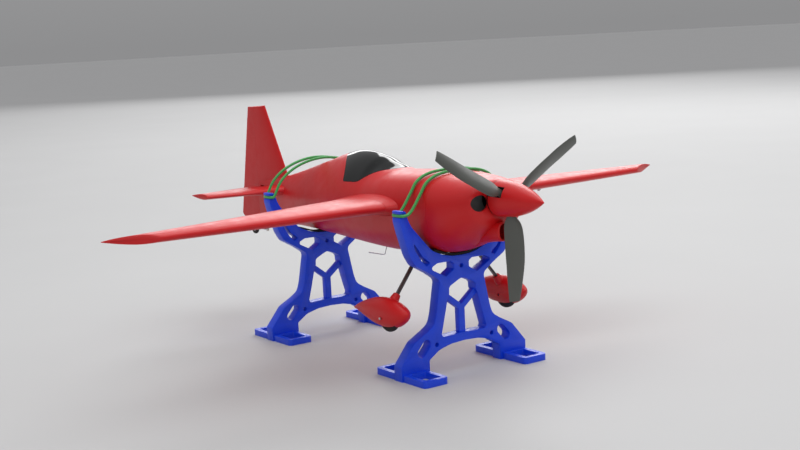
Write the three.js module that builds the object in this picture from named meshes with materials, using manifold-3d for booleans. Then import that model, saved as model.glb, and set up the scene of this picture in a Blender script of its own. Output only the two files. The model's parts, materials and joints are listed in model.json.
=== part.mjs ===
// Electric racing aeroplane model with a three-blade propeller, fixed gear with wheel pants and four
// working control surfaces, strapped down on its two printed cradle stands.
// Millimetres, +X to the nose, +Y to the aeroplane's left wing, +Z up. The origin is on the floor,
// in the middle of the outline.
import * as THREE from "three";
import { mergeVertices } from "three/addons/utils/BufferGeometryUtils.js";
import { LoftGeometry } from "three/addons/geometries/LoftGeometry.js";
import Module from "manifold-3d";

const wasm = await Module();
wasm.setup();

// ---------------------------------------------------------------- driving dimensions
const GAP = 0.35; // clearance between neighbouring pieces
const SKIN = 1.6; // wall of the fuselage, cowl and canopy mouldings

const TAIL_POST_X = -306; // rudder hinge line
const COWL_JOINT_X = 214.5; // where the cowl meets the fuselage
const COWL_FRONT_X = 286;

// Body stations: x, top, bottom, half width, height of the widest point, and how square the upper and
// lower halves are (2 is an ellipse).
const BODY_STATIONS = [
  [-306, 213, 150.2, 4.2, 186, 3.4, 3.4],
  [-262, 219, 150.8, 9, 188, 2.2, 2.8],
  [-216, 224.5, 151.3, 15.5, 190, 1.8, 2.5],
  [-165, 235.5, 151.2, 24, 193, 1.6, 2.3],
  [-124, 246, 150.5, 31.5, 196, 1.6, 2.3],
  [-82, 256.5, 149.2, 38, 199, 1.6, 2.3],
  [-47, 265.6, 147.9, 43.5, 202, 1.65, 2.3],
  [-6, 272.3, 146.2, 49, 205, 1.75, 2.3],
  [40, 267.4, 144.4, 54, 206, 1.75, 2.3],
  [60, 259.6, 143.9, 56, 206, 1.8, 2.3],
  [80, 251, 143.6, 57.5, 206, 2.35, 2.3],
  [100, 251.1, 143.9, 59, 206, 2.6, 2.3],
  [145, 253.1, 146.7, 60.5, 207, 2.8, 2.3],
  [200, 253.9, 151.6, 61, 208, 2.9, 2.3],
  [214.5, 253.6, 154.6, 60.5, 209, 2.8, 2.3],
  [245, 251.8, 167, 57, 214, 2.5, 2.3],
  [268, 250, 182.5, 50.5, 219, 2.3, 2.3],
  [280, 249, 192, 45, 222, 2.2, 2.2],
  [286, 248.4, 197.5, 41, 224, 2.1, 2.1],
];

const PROP = { x: 305.3, z: 226.5, radius: 125.7, pitch: 277, hubRadius: 9.5 };
const SPINNER = { base: 289.3, tip: 366, radius: 22.8, wall: 1.4 };

const WING = {
  z: 210.7, // chord plane at the root
  dihedral: 0.008, // rise per mm of span
  leadingX: 141.5,
  rootY: 74, // the panel's root rib
  rootTrailingX: 13, // trailing edge produced to trailY
  trailY: 55,
  trailSweep: 0.2526, // trailing edge's forward run per mm of span
  cornerY: 381, // where the tip is cut off obliquely
  tipY: 441,
  thickness: 20.3,
  tipThickness: 11.24,
  rootReach: 24, // how far the leading edge runs forward inside the body
  rootReachY: [40, 110], // where that run starts to fade, and where it is gone
  skin: 1.4,
};
const AILERON = { innerY: 186, outerY: 402, innerChord: 27, outerChord: 11 };
const SPAR = { x: 106, radius: 5, bore: 4, halfLength: 148 };

const STAB = { z: 201, halfSpan: 121.5, cornerY: 120.5, thickness: 8 };
const STAB_ROOT = { leadingX: -216.5, trailingX: -321.5 };
const STAB_TIP = { leadingX: -254, trailingX: -302 };
const ELEVATOR_HINGE_X = -285;

const FIN = { topZ: 330.3, thickness: 10.5, topThickness: 6.5 };
const FIN_LEADING = { x: -225.4, z: 238.9, sweep: -0.555 }; // forward edge and its run per mm up
const FIN_TRAILING = { x: -366.2, z: 162.8, sweep: 0.2305 };
const RUDDER_BOTTOM_Z = 150.2;

const WHEEL = { x: 174, y: 95.2, z: 78.7, radius: 19, width: 10 };
const TAIL_WHEEL = { x: -330.5, z: 133, radius: 9, width: 5.6 };

const STAND_WEB = 16; // thickness of the stand's web
const STAND_STRUT = 8.5; // thickness of its inner struts
const STANDS = [
  { side: "front", x: 195.5, padTop: 150.9 },
  { side: "rear", x: -124.5, padTop: 149.9 },
];
const FOOT = { innerY: 61.7, outerY: 99.4, halfLength: 53, height: 8.6, corner: 6 };
const STRAP_RADIUS = 1.9;
const STRAP_SPREAD = 10.2; // each strand's distance from the middle of the web

// ---------------------------------------------------------------- materials
const paint = (color, roughness, metalness = 0) =>
  new THREE.MeshStandardMaterial({ color, roughness, metalness });
const RED = paint(0xbe1a1a, 0.28);
const BLACK_GLOSS = paint(0x0c0d0d, 0.12);
const BLUE = paint(0x1a35cc, 0.45);
const GREEN = paint(0x3fa34d, 0.6);
const PROP_GREY = paint(0x55574f, 0.4);
const RUBBER = paint(0x2e2c28, 0.85);
const FOAM = paint(0x111111, 0.95);
const CARBON = paint(0x1c1614, 0.4);
const STEEL = paint(0xb9bcc0, 0.3, 1);
const ALLOY = paint(0xc9ccd0, 0.35, 1);
const NYLON = paint(0xe8e6df, 0.6);
const PLYWOOD = paint(0xc9a46c, 0.8);
const SERVO_BLUE = paint(0x22407a, 0.4);
const WRAP = paint(0x26418f, 0.35);
const BLACK_PLASTIC = paint(0x18181a, 0.5);

// ---------------------------------------------------------------- solids
// A closed geometry as a solid, its faces turned outwards.
function solid(geometry) {
  const bare = new THREE.BufferGeometry();
  bare.setAttribute("position", geometry.getAttribute("position"));
  if (geometry.index) bare.setIndex(geometry.index);
  const merged = mergeVertices(bare, 1e-4);
  const vertProperties = merged.attributes.position.array;
  const triVerts = new Uint32Array(merged.index.array);
  const made = new wasm.Manifold(new wasm.Mesh({ numProp: 3, vertProperties, triVerts }));
  if (made.volume() > 0) return made;
  triVerts.reverse();
  return new wasm.Manifold(new wasm.Mesh({ numProp: 3, vertProperties, triVerts }));
}

function geometryOf(made) {
  const { numProp, numVert, vertProperties, triVerts } = made.getMesh();
  const positions = new Float32Array(numVert * 3);
  for (let i = 0; i < numVert; i++)
    positions.set(vertProperties.subarray(i * numProp, i * numProp + 3), i * 3);
  const geometry = new THREE.BufferGeometry();
  geometry.setAttribute("position", new THREE.BufferAttribute(positions, 3));
  geometry.setIndex(new THREE.BufferAttribute(new Uint32Array(triVerts), 1));
  geometry.computeVertexNormals();
  return geometry;
}

const join = (...solids) => solids.reduce((a, b) => a.add(b));
const cut = (body, ...tools) => tools.reduce((a, b) => a.subtract(b), body);
const mirrorY = (made) => made.mirror([0, 1, 0]);

const v3 = (x, y, z) => new THREE.Vector3(x, y, z);
const degrees = THREE.MathUtils.degToRad;
const lerp = THREE.MathUtils.lerp;

const group = new THREE.Group();
group.name = "racing_aeroplane_on_stands";

function add(name, shape, material, parent = group) {
  const geometry = shape.isBufferGeometry ? shape : geometryOf(shape);
  const mesh = new THREE.Mesh(geometry, material);
  mesh.name = name;
  parent.add(mesh);
  return mesh;
}

// Plane outlines become plates: `across` names the plate's normal.
const PLATE_AXES = {
  x: new THREE.Matrix4().makeBasis(v3(0, 1, 0), v3(0, 0, 1), v3(1, 0, 0)),
  y: new THREE.Matrix4().makeBasis(v3(1, 0, 0), v3(0, 0, 1), v3(0, -1, 0)),
  z: new THREE.Matrix4(),
};
function plate(shape, thickness, across, middle, curveSegments = 8) {
  const geometry = new THREE.ExtrudeGeometry(shape, { depth: thickness, bevelEnabled: false, curveSegments });
  geometry.translate(0, 0, -thickness / 2).applyMatrix4(PLATE_AXES[across]);
  const shift = { x: [middle, 0, 0], y: [0, middle, 0], z: [0, 0, middle] }[across];
  return solid(geometry.translate(...shift));
}

const polygon = (points) => new THREE.Shape(points.map(([a, b]) => new THREE.Vector2(a, b)));

function block(low, high) {
  const size = high.map((value, i) => value - low[i]);
  const geometry = new THREE.BoxGeometry(...size);
  return solid(geometry.translate(...low.map((value, i) => value + size[i] / 2)));
}

// A round bar between two points, tapering if a second radius is given.
function bar(from, to, radius, endRadius = radius, sides = 12) {
  const along = to.clone().sub(from);
  const geometry = new THREE.CylinderGeometry(endRadius, radius, along.length(), sides);
  const turn = new THREE.Quaternion().setFromUnitVectors(v3(0, 1, 0), along.clone().normalize());
  geometry.applyQuaternion(turn);
  const middle = from.clone().add(to).multiplyScalar(0.5);
  return solid(geometry.translate(middle.x, middle.y, middle.z));
}

// A turned piece: its profile is [axial, radius] pairs, and its axis leaves `origin` along `axis`.
function turned(profile, origin, axis, segments = 24) {
  const points = profile.map(([axial, radius]) => new THREE.Vector2(radius, axial));
  const geometry = new THREE.LatheGeometry(points, segments);
  geometry.applyQuaternion(new THREE.Quaternion().setFromUnitVectors(v3(0, 1, 0), axis));
  return solid(geometry.translate(origin.x, origin.y, origin.z));
}

// A closed skin over sections of equal count, which may run either way round.
function loft(sections) {
  const [first, next] = sections;
  const normal = v3(0, 0, 0);
  first.forEach((p, i) => normal.add(p.clone().cross(first[(i + 1) % first.length])));
  const sum = (section) => section.reduce((total, p) => total.add(p), v3(0, 0, 0));
  const forward = normal.dot(sum(next).sub(sum(first))) > 0;
  const ordered = forward ? sections : sections.map((section) => [...section].reverse());
  return solid(new LoftGeometry(ordered, { closed: true, capStart: true, capEnd: true }));
}

// ---------------------------------------------------------------- fuselage body surface
const bodyCurve = new THREE.CubicInterpolant(
  BODY_STATIONS.map((row) => row[0]),
  BODY_STATIONS.flatMap((row) => row.slice(1)),
  6,
);

// One closed rounded section: `upper` and `lower` say how square each half is.
function roundedSection(x, top, bottom, halfWidth, waist, upper, lower, count, middleY = 0) {
  return Array.from({ length: count }, (_, i) => {
    const turn = (i / count) * 2 * Math.PI;
    const c = Math.cos(turn);
    const s = Math.sin(turn);
    const power = 2 / (s >= 0 ? upper : lower);
    const height = s >= 0 ? top - waist : waist - bottom;
    return v3(
      x,
      middleY + halfWidth * Math.sign(c) * Math.abs(c) ** power,
      waist + height * Math.sign(s) * Math.abs(s) ** power,
    );
  });
}

function bodySection(x, inset, count) {
  const [top, bottom, halfWidth, waist, upper, lower] = bodyCurve.evaluate(x);
  return roundedSection(x, top - inset, bottom + inset, halfWidth - inset, waist, upper, lower, count);
}

function bodyLoft(stations, inset, count = 24) {
  return loft(stations.map((x) => bodySection(x, inset, count)));
}

const steps = (from, to, count) => Array.from({ length: count + 1 }, (_, i) => lerp(from, to, i / count));

// ---------------------------------------------------------------- flying surfaces
// Half thickness of a symmetrical aerofoil, per unit of thickness, at a fraction of its chord.
const aerofoil = (u) =>
  5 * (0.2969 * Math.sqrt(u) - 0.126 * u - 0.3516 * u ** 2 + 0.2843 * u ** 3 - 0.1036 * u ** 4);
const TRAILING_EDGE = 0.6; // half thickness left at the trailing edge
const CHORD_STEPS = 9;

// An aerofoil section as [distance back from the leading edge, height] pairs.
function aerofoilSection(chord, thickness) {
  const fractions = steps(0, Math.PI, CHORD_STEPS).map((turn) => (1 - Math.cos(turn)) / 2);
  const height = (u) => aerofoil(u) * thickness + TRAILING_EDGE * u;
  const upper = fractions.map((u) => [u * chord, height(u)]);
  const lower = fractions.slice(1).map((u) => [u * chord, -height(u)]);
  return [...upper.reverse(), ...lower];
}

const wingZ = (y) => WING.z + Math.max(y - WING.rootY, 0) * WING.dihedral;
const wingTrailing = (y) => WING.rootTrailingX + (y - WING.trailY) * WING.trailSweep;
const wingThickness = (y) =>
  lerp(WING.thickness, WING.tipThickness, (y - WING.rootY) / (WING.cornerY - WING.rootY));

function wingLeading(y) {
  const [full, gone] = WING.rootReachY;
  const left = THREE.MathUtils.clamp((gone - y) / (gone - full), 0, 1);
  return WING.leadingX + WING.rootReach * left ** 2;
}

function wingSection(y) {
  const leading = wingLeading(y);
  return aerofoilSection(leading - wingTrailing(y), wingThickness(y)).map(([back, height]) =>
    v3(leading - back, y, wingZ(y) + height),
  );
}

// Half height of the wing at a point of the left panel.
function wingHalfHeight(x, y) {
  const u = (WING.leadingX - x) / (WING.leadingX - wingTrailing(y));
  return aerofoil(u) * wingThickness(y) + TRAILING_EDGE * u;
}

const aileronChord = (y) =>
  lerp(AILERON.innerChord, AILERON.outerChord, (y - AILERON.innerY) / (AILERON.outerY - AILERON.innerY));
const aileronHinge = (y) => {
  const x = wingTrailing(y) + aileronChord(y);
  return v3(x, y, wingZ(y) + wingHalfHeight(x, y));
};

// A slab behind a hinge line that lies in a surface's upper skin: its front face leans back below
// the hinge by `lean` degrees, and it starts `behind` mm behind the line.
function behindHinge(start, end, reach, lean, behind) {
  const depth = 40;
  const back = depth * Math.tan(degrees(lean));
  const corners = (p) => [
    v3(p.x - behind, p.y, p.z + 5),
    v3(p.x - behind, p.y, p.z),
    v3(p.x - behind - back, p.y, p.z - depth),
    v3(p.x - reach, p.y, p.z - depth),
    v3(p.x - reach, p.y, p.z + 5),
  ];
  return loft([corners(start), corners(end)]);
}

const SURFACE_LEAN = 26;

const TIP_CUT = 120;
function obliqueTip(cornerX, cornerY, tipX, tipY, z) {
  const run = v3(tipX - cornerX, tipY - cornerY, 0).normalize();
  const out = v3(-run.y, run.x, 0).multiplyScalar(-TIP_CUT);
  const from = v3(cornerX, cornerY, 0).addScaledVector(run, -TIP_CUT);
  const to = v3(cornerX, cornerY, 0).addScaledVector(run, TIP_CUT);
  const outline = [from, to, to.clone().add(out), from.clone().add(out)].map((p) => [p.x, p.y]);
  return plate(polygon(outline), 60, "z", z);
}

const WING_TIP_CUT = obliqueTip(WING.leadingX, WING.cornerY, wingTrailing(WING.tipY), WING.tipY, WING.z);

// The hollow inside the wing panel, open at its root.
function wingCavity() {
  const sections = [WING.rootY - 5, 150, 250, 384].map((y) => {
    const front = WING.leadingX - 5;
    const rear = wingTrailing(y) + lerp(40, 19, (y - WING.rootY) / 310);
    const along = [0, 0.12, 0.3, 0.55, 0.8, 1].map((t) => lerp(front, rear, t));
    const inner = (x) => Math.max(wingHalfHeight(x, y) - WING.skin, 0.5);
    const upper = along.map((x) => v3(x, y, wingZ(y) + inner(x)));
    const lower = along.map((x) => v3(x, y, wingZ(y) - inner(x))).reverse();
    return [...upper, ...lower];
  });
  return loft(sections);
}

// Aileron servo: it lies in the wing's underside, and its arm hangs through a slot.
const WING_SERVO = { x: 111, y: 212, length: 22, width: 12, bottom: 205.6, top: 214.6 };
const WING_ARM = { x: 104, y: 221.5, z: 208, length: 8 };
const ROD_RADIUS = 0.9;
const LEVER = 1.6; // thickness of servo arms and horns
const ROD_OFFSET = LEVER / 2 + ROD_RADIUS + 0.4; // from a lever's middle plane to its rod
const SWEPT_HORN_OFFSET = ROD_OFFSET + 1.3; // a horn on a swept hinge also swings sideways

function wingServoBox(grow) {
  const { x, y, length, width, bottom, top } = WING_SERVO;
  const low = [x - length / 2 - grow, y - width / 2 - grow, bottom - 20 * Math.sign(grow)];
  return block(low, [x + length / 2 + grow, y + width / 2 + grow, top + grow]);
}

// A servo arm turning about Y: a tapered lever on a boss, pointing up (+1) or down (-1).
function servoArm({ x, y, z, length }, direction) {
  const tip = z + direction * (length + 2);
  const lever = polygon([
    [x - 3.2, z],
    [x + 3.2, z],
    [x + 1.8, tip],
    [x - 1.8, tip],
  ]);
  return join(plate(lever, LEVER, "y", y), bar(v3(x, y - LEVER / 2, z), v3(x, y + LEVER / 2, z), 3.6));
}

function addWing(side) {
  const place = (made) => (side === "left" ? made : mirrorY(made));
  const ribs = [WING.rootY, 84, 96, WING.rootReachY[1], WING.cornerY, WING.tipY + 8];
  const outline = loft(ribs.map((y) => wingSection(y)));
  const panel = cut(outline, WING_TIP_CUT);
  const hinge = [AILERON.innerY, AILERON.outerY].map(aileronHinge);
  const bay = behindHinge(...hinge, 60, 0, 0);
  const { x, y, z, length } = WING_ARM;
  const armSlot = block([x - 9, WING_SERVO.y, z - 30], [x + 9, y + 2.2, z + 4.4]);
  add(`wing_${side}`, place(cut(panel, bay, wingCavity(), wingServoBox(GAP), armSlot)), RED);

  const flap = behindHinge(...hinge, 60, SURFACE_LEAN, GAP);
  const ends = [
    block([0, 0, 150], [200, AILERON.innerY + 1, 260]),
    block([0, AILERON.outerY - 1, 150], [200, WING.tipY + 10, 260]),
  ];
  const hornY = y + ROD_OFFSET + SWEPT_HORN_OFFSET;
  const hornX = aileronHinge(hornY).x;
  const rodZ = z - length;
  const horn = polygon([
    [hornX - 16, WING.z - 0.5],
    [hornX - 7, WING.z - 1],
    [hornX + 1.6, rodZ - 1.5],
    [hornX - 2.4, rodZ - 1.5],
  ]);
  const aileron = cut(panel.intersect(flap), ...ends).add(plate(horn, LEVER, "y", hornY));
  add(`aileron_${side}`, place(aileron), RED);

  const servo = wingServoBox(0).add(bar(v3(x, WING_SERVO.y, z), v3(x, y - LEVER / 2 - GAP, z), 2.6));
  add(`aileron_servo_${side}`, place(servo), SERVO_BLUE);
  add(`aileron_servo_arm_${side}`, place(servoArm(WING_ARM, -1)), NYLON);
  const rod = bar(v3(x + 1.5, y + ROD_OFFSET, rodZ), v3(hornX - 1.5, y + ROD_OFFSET, rodZ), ROD_RADIUS);
  add(`aileron_pushrod_${side}`, place(rod), STEEL);
}

// ---------------------------------------------------------------- tail surfaces
function stabSection(y) {
  const t = y / STAB.cornerY;
  const leading = lerp(STAB_ROOT.leadingX, STAB_TIP.leadingX, t);
  const trailing = lerp(STAB_ROOT.trailingX, STAB_TIP.trailingX, t);
  return aerofoilSection(leading - trailing, STAB.thickness).map(([back, height]) =>
    v3(leading - back, y, STAB.z + height),
  );
}

const stabTopAtHinge = () => {
  const chord = STAB_ROOT.leadingX - STAB_ROOT.trailingX;
  const u = (STAB_ROOT.leadingX - ELEVATOR_HINGE_X) / chord;
  return STAB.z + aerofoil(u) * STAB.thickness + TRAILING_EDGE * u - 0.1;
};
const ELEVATOR_ROOT_Y = 8.5;
const ELEVATOR_HORN_Y = 20;
const JOINER_Z = STAB.z - 0.6;
const TAIL_ROD_ELEVATOR_Z = 190;

function tailplaneHalf() {
  const half = loft([0, STAB.cornerY, STAB.cornerY + 12].map((y) => stabSection(y)));
  const tipX = lerp(STAB_ROOT.trailingX, STAB_TIP.trailingX, STAB.halfSpan / STAB.cornerY);
  const corner = lerp(STAB_ROOT.leadingX, STAB_TIP.leadingX, 0.98);
  return cut(half, obliqueTip(corner, STAB.cornerY * 0.98, tipX, STAB.halfSpan, STAB.z));
}

function elevatorSlab(lean, behind) {
  const edge = (y) => v3(ELEVATOR_HINGE_X, y, stabTopAtHinge());
  return behindHinge(edge(-150), edge(150), 60, lean, behind);
}

function addTailplane() {
  const half = tailplaneHalf();
  const whole = half.add(mirrorY(half));
  add("stabiliser", cut(whole, elevatorSlab(0, 0)), RED);
  const flaps = whole.intersect(elevatorSlab(SURFACE_LEAN, GAP));
  const joinerX = ELEVATOR_HINGE_X - 8;
  const joinerBore = bar(v3(joinerX, -30, JOINER_Z), v3(joinerX, 30, JOINER_Z), 1.5 + GAP);
  // The root edge slopes back and outwards, to leave room for the rudder's swing.
  const rootNotch = polygon([
    [ELEVATOR_HINGE_X + 5, ELEVATOR_ROOT_Y],
    [ELEVATOR_HINGE_X - 50, ELEVATOR_ROOT_Y + 7],
    [ELEVATOR_HINGE_X - 50, -150],
    [ELEVATOR_HINGE_X + 5, -150],
  ]);
  const left = cut(flaps, plate(rootNotch, 40, "z", STAB.z), joinerBore);
  const horn = polygon([
    [ELEVATOR_HINGE_X - 20, STAB.z - 0.5],
    [ELEVATOR_HINGE_X - 12.5, STAB.z - 1.5],
    [ELEVATOR_HINGE_X + 1.8, TAIL_ROD_ELEVATOR_Z - 1.5],
    [ELEVATOR_HINGE_X - 2.2, TAIL_ROD_ELEVATOR_Z - 1.5],
  ]);
  add("elevator_left", left.add(plate(horn, LEVER, "y", ELEVATOR_HORN_Y)), RED);
  add("elevator_right", mirrorY(left), RED);
  const joiner = bar(v3(joinerX, -29, JOINER_Z), v3(joinerX, 29, JOINER_Z), 1.5);
  add("elevator_joiner", joiner, CARBON);
}

// The fin and rudder are one upright aerofoil, cut at the rudder's hinge line.
const finLeading = (z) => FIN_LEADING.x + (z - FIN_LEADING.z) * FIN_LEADING.sweep;
const finTrailing = (z) => FIN_TRAILING.x + (z - FIN_TRAILING.z) * FIN_TRAILING.sweep;
const finThickness = (z) =>
  lerp(FIN.thickness, FIN.topThickness, (z - RUDDER_BOTTOM_Z) / (FIN.topZ - RUDDER_BOTTOM_Z));

function finSection(z) {
  const leading = finLeading(z);
  return aerofoilSection(leading - finTrailing(z), finThickness(z)).map(([back, height]) =>
    v3(leading - back, height, z),
  );
}

function finHalfThickness(x, z) {
  const u = (finLeading(z) - x) / (finLeading(z) - finTrailing(z));
  return aerofoil(u) * finThickness(z) + TRAILING_EDGE * u;
}

const RUDDER_LEAN = 30;
const RUDDER_HORN_Z = 170;
const RUDDER_ROD_Z = RUDDER_HORN_Z + ROD_OFFSET;
const RUDDER_ROD_Y = 17;
const rudderHinge = (z) => v3(TAIL_POST_X, -finHalfThickness(TAIL_POST_X, z), z);

// Everything behind the rudder's hinge line; its front face leans back away from the hinge side.
function rudderSlab(lean, behind) {
  const depth = 30;
  const back = depth * Math.tan(degrees(lean));
  const corners = (p) => [
    v3(p.x - behind, p.y - 10, p.z),
    v3(p.x - 90, p.y - 10, p.z),
    v3(p.x - 90, p.y + depth, p.z),
    v3(p.x - behind - back, p.y + depth, p.z),
    v3(p.x - behind, p.y, p.z),
  ];
  return loft([corners(rudderHinge(RUDDER_BOTTOM_Z - 2)), corners(rudderHinge(FIN.topZ + 2))]);
}

const finTop = () => {
  // The tip falls slightly towards the back.
  const outline = polygon([
    [-200, FIN.topZ + 4],
    [-400, FIN.topZ - 6],
    [-400, FIN.topZ + 40],
    [-200, FIN.topZ + 40],
  ]);
  return plate(outline, 60, "y", 0);
};

function tailFin() {
  const heights = [RUDDER_BOTTOM_Z, 200, 260, FIN.topZ + 4];
  return cut(loft(heights.map(finSection)), finTop());
}

function addRudder() {
  const corner = new THREE.Shape();
  const [backX, bottomZ, radius] = [finTrailing(RUDDER_BOTTOM_Z) - 1, RUDDER_BOTTOM_Z - 1, 13];
  corner.moveTo(backX - 5, bottomZ - 5);
  corner.lineTo(backX + radius, bottomZ - 5);
  corner.lineTo(backX + radius, bottomZ + 1);
  corner.absarc(backX + radius, bottomZ + 1 + radius, radius, -Math.PI / 2, -Math.PI, true);
  corner.lineTo(backX - 5, bottomZ + 1 + radius);
  const horn = polygon([
    [TAIL_POST_X - 16, 0],
    [TAIL_POST_X - 7, 0],
    [TAIL_POST_X + 1.8, RUDDER_ROD_Y + 1.5],
    [TAIL_POST_X - 2.2, RUDDER_ROD_Y + 1.5],
  ]);
  const postBore = bar(v3(TAIL_WHEEL.x + 12, 0, 140), v3(TAIL_WHEEL.x + 12, 0, 166), 1.1 + GAP);
  const body = tailFin().intersect(rudderSlab(RUDDER_LEAN, GAP));
  const rounded = cut(body, plate(corner, 60, "y", 0), postBore);
  add("rudder", rounded.add(plate(horn, LEVER, "z", RUDDER_HORN_Z)), RED);
}

function addTailWheel() {
  const { x, z, radius, width } = TAIL_WHEEL;
  const postX = x + 12;
  const crownZ = z + radius + 3;
  const legY = width / 2 + 1.6;
  const wire = 1.1;
  const leg = (y) => bar(v3(postX - 4, y, crownZ), v3(x, y, z), wire, wire, 8);
  const fork = join(
    bar(v3(postX, 0, 163), v3(postX, 0, crownZ - 0.5), wire, wire, 8),
    bar(v3(postX + 1, 0, crownZ), v3(postX - 4.5, 0, crownZ), 1.6, 1.6, 8),
    bar(v3(postX - 4, -legY - 0.8, crownZ), v3(postX - 4, legY + 0.8, crownZ), 1.4, 1.4, 8),
    leg(-legY),
    leg(legY),
    bar(v3(x, -legY - 0.9, z), v3(x, legY + 0.9, z), wire, wire, 12),
  );
  add("tail_wheel_fork", fork, STEEL);
  const half = width / 2;
  const wheel = turned(
    [[-half, wire + 0.1], [-half, radius - 2.2], [-half + 1.4, radius], [half - 1.4, radius],
      [half, radius - 2.2], [half, wire + 0.1], [-half, wire + 0.1]],
    v3(x, 0, z), v3(0, 1, 0), 20,
  );
  add("tail_wheel", wheel, RUBBER);
}

// ---------------------------------------------------------------- fuselage, cowl and canopy
// The canopy's outline in side view: rear edge, sill, and the sweep up to the foot of the windscreen.
const CANOPY_REAR = [[-35, 266.6], [-21.4, 262.2], [-8.7, 254.1], [-0.6, 244.3], [2.5, 236.7]];
const CANOPY_FRONT = [
  [39.4, 236], [46, 238.6], [53, 243], [59, 246.2], [66.6, 249.3], [72.5, 251.1], [76, 251.6], [86, 252.6],
];
function canopyOutline(grow) {
  const outline = new THREE.Shape();
  const shifted = (points, dx) => points.map(([x, z]) => new THREE.Vector2(x + dx, z - grow));
  outline.moveTo(-53 - grow, 300);
  outline.lineTo(-52 - grow, 271.5 - grow);
  outline.splineThru(shifted(CANOPY_REAR, -grow));
  outline.quadraticCurveTo(3.4 - grow, 234 - grow, 7, 234.1 - grow);
  outline.splineThru(shifted(CANOPY_FRONT, grow));
  outline.lineTo(86 + grow, 300);
  return plate(outline, 160, "y", 0, 2);
}

const OUTER_STATIONS = [
  ...steps(TAIL_POST_X + 1, -60, 5),
  -36, -18, -6, 14, 36, 50, 60, 70, 80, 95, 122, 160, 200,
  COWL_JOINT_X - GAP,
];
const INNER_STATIONS = [...steps(-272, -60, 4), -30, -6, 20, 40, 60, 80, 95, 122, 160, 203, 206.4, 225];

// A swelling that carries each wing's root rib out from the fuselage side.
function wingFairing() {
  const rib = (y, grow) => {
    const leading = wingLeading(y) + grow;
    const chord = leading + grow - wingTrailing(y);
    return aerofoilSection(chord, WING.thickness + 1.6 * grow).map(([back, height]) =>
      v3(leading - back, y, WING.z + height),
    );
  };
  return loft([
    rib(36, 9), rib(46, 7), rib(56, 5), rib(64, 2), rib(70, 0.6), rib(WING.rootY - GAP, 0),
  ]);
}

const LEG = {
  foot: [172.7, 87.6, 76.5], // below the axle
  knee: [172.7, 87.6, 96],
  top: [171, 33, 164.2],
  width: 7,
  thickness: 2.8,
};

// A flat strut between two points, its width along X.
function flatStrut([x0, y0, z0], [x1, y1, z1], width, thickness) {
  const along = v3(x1 - x0, y1 - y0, z1 - z0);
  const across = v3(1, 0, 0);
  const normal = along.clone().cross(across).normalize();
  const half = [[-1, -1], [1, -1], [1, 1], [-1, 1]];
  const ends = [v3(x0, y0, z0), v3(x1, y1, z1)];
  return loft(ends.map((end) => half.map(([a, b]) =>
    end.clone().addScaledVector(across, (a * width) / 2).addScaledVector(normal, (b * thickness) / 2))));
}

function gearLeg(grow = 0) {
  const { foot, knee, top, width, thickness } = LEG;
  const [w, t] = [width + 2 * grow, thickness + 2 * grow];
  const overlap = [knee[0], knee[1], knee[2] + 1.4];
  return join(flatStrut(foot, overlap, w, t), flatStrut(knee, top, w, t));
}

const ELEVATOR_ROD_Y = ELEVATOR_HORN_Y - ROD_OFFSET;
const ANTENNA = { top: v3(41.2, 0, 148.6), elbow: v3(32.3, 0, 129), end: v3(-7.1, 0, 128) };

const ELEVATOR_ARM = { x: -62, y: ELEVATOR_ROD_Y - ROD_OFFSET, z: TAIL_ROD_ELEVATOR_Z - 10, length: 10 };
const RUDDER_ARM = { x: -96, y: RUDDER_ROD_Y - ROD_OFFSET, z: RUDDER_ROD_Z + 14, length: 14 };
const TAIL_SERVOS = [
  { name: "elevator", arm: ELEVATOR_ARM, direction: 1 },
  { name: "rudder", arm: RUDDER_ARM, direction: -1 },
];
const TAIL_RODS = [
  { name: "elevator", from: -61, to: ELEVATOR_HINGE_X - 1.5, y: ELEVATOR_ROD_Y, z: TAIL_ROD_ELEVATOR_Z },
  { name: "rudder", from: -95, to: TAIL_POST_X - 1.5, y: RUDDER_ROD_Y, z: RUDDER_ROD_Z },
];

function addFuselage() {
  const outer = join(
    bodyLoft(OUTER_STATIONS, 0),
    wingFairing(),
    mirrorY(wingFairing()),
    cut(tailFin(), rudderSlab(0, 0), block([-230, -20, 100], [-100, 20, 200])),
  );
  const rodSlots = TAIL_RODS.map(({ to, y, z }) =>
    block([to - 4, y - 2.6, z - 1.8], [-100, y + 2.2, z + 1.8]));
  const sparBore = SPAR.radius + GAP;
  const spar = bar(v3(SPAR.x, -100, WING.z), v3(SPAR.x, 100, WING.z), sparBore, sparBore, 20);
  const tailplane = cut(tailplaneHalf().add(mirrorY(tailplaneHalf())), elevatorSlab(0, 0));
  const stabSlot = join(...[-0.4, 0, 0.4].map((dz) => tailplane.translate([0.4, 0, dz])));
  const joinerRoom = block([ELEVATOR_HINGE_X - 11.4, -20, 195.8], [ELEVATOR_HINGE_X + 1, 20, 205.3]);
  const leg = gearLeg(0.5);
  const fuselage = cut(
    outer,
    rudderSlab(0, 0),
    bodyLoft(INNER_STATIONS, SKIN, 20),
    canopyOutline(GAP),
    stabSlot,
    joinerRoom,
    spar,
    leg,
    mirrorY(leg),
    bar(ANTENNA.elbow, ANTENNA.top, 1.3, 1.3, 8),
    ...rodSlots,
  );
  add("fuselage", fuselage, RED);
  const shell = cut(bodyLoft(OUTER_STATIONS, 0), bodyLoft(INNER_STATIONS, SKIN, 20));
  add("canopy", shell.intersect(canopyOutline(0)), BLACK_GLOSS);
}

// Air intakes: one beside each cheek of the spinner, and the scoop under it.
const CHEEK = { y: 31.5, z: 222.5, halfWidth: 11.5, halfHeight: 9.8 };
const CHIN_STATIONS = [
  [236, 197, 161.5, 6],
  [250, 197, 166.8, 8.5],
  [264, 197, 169.8, 9.6],
  [278, 197.4, 172.2, 10],
  [292, 197.6, 173.8, 9.6],
];

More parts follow.
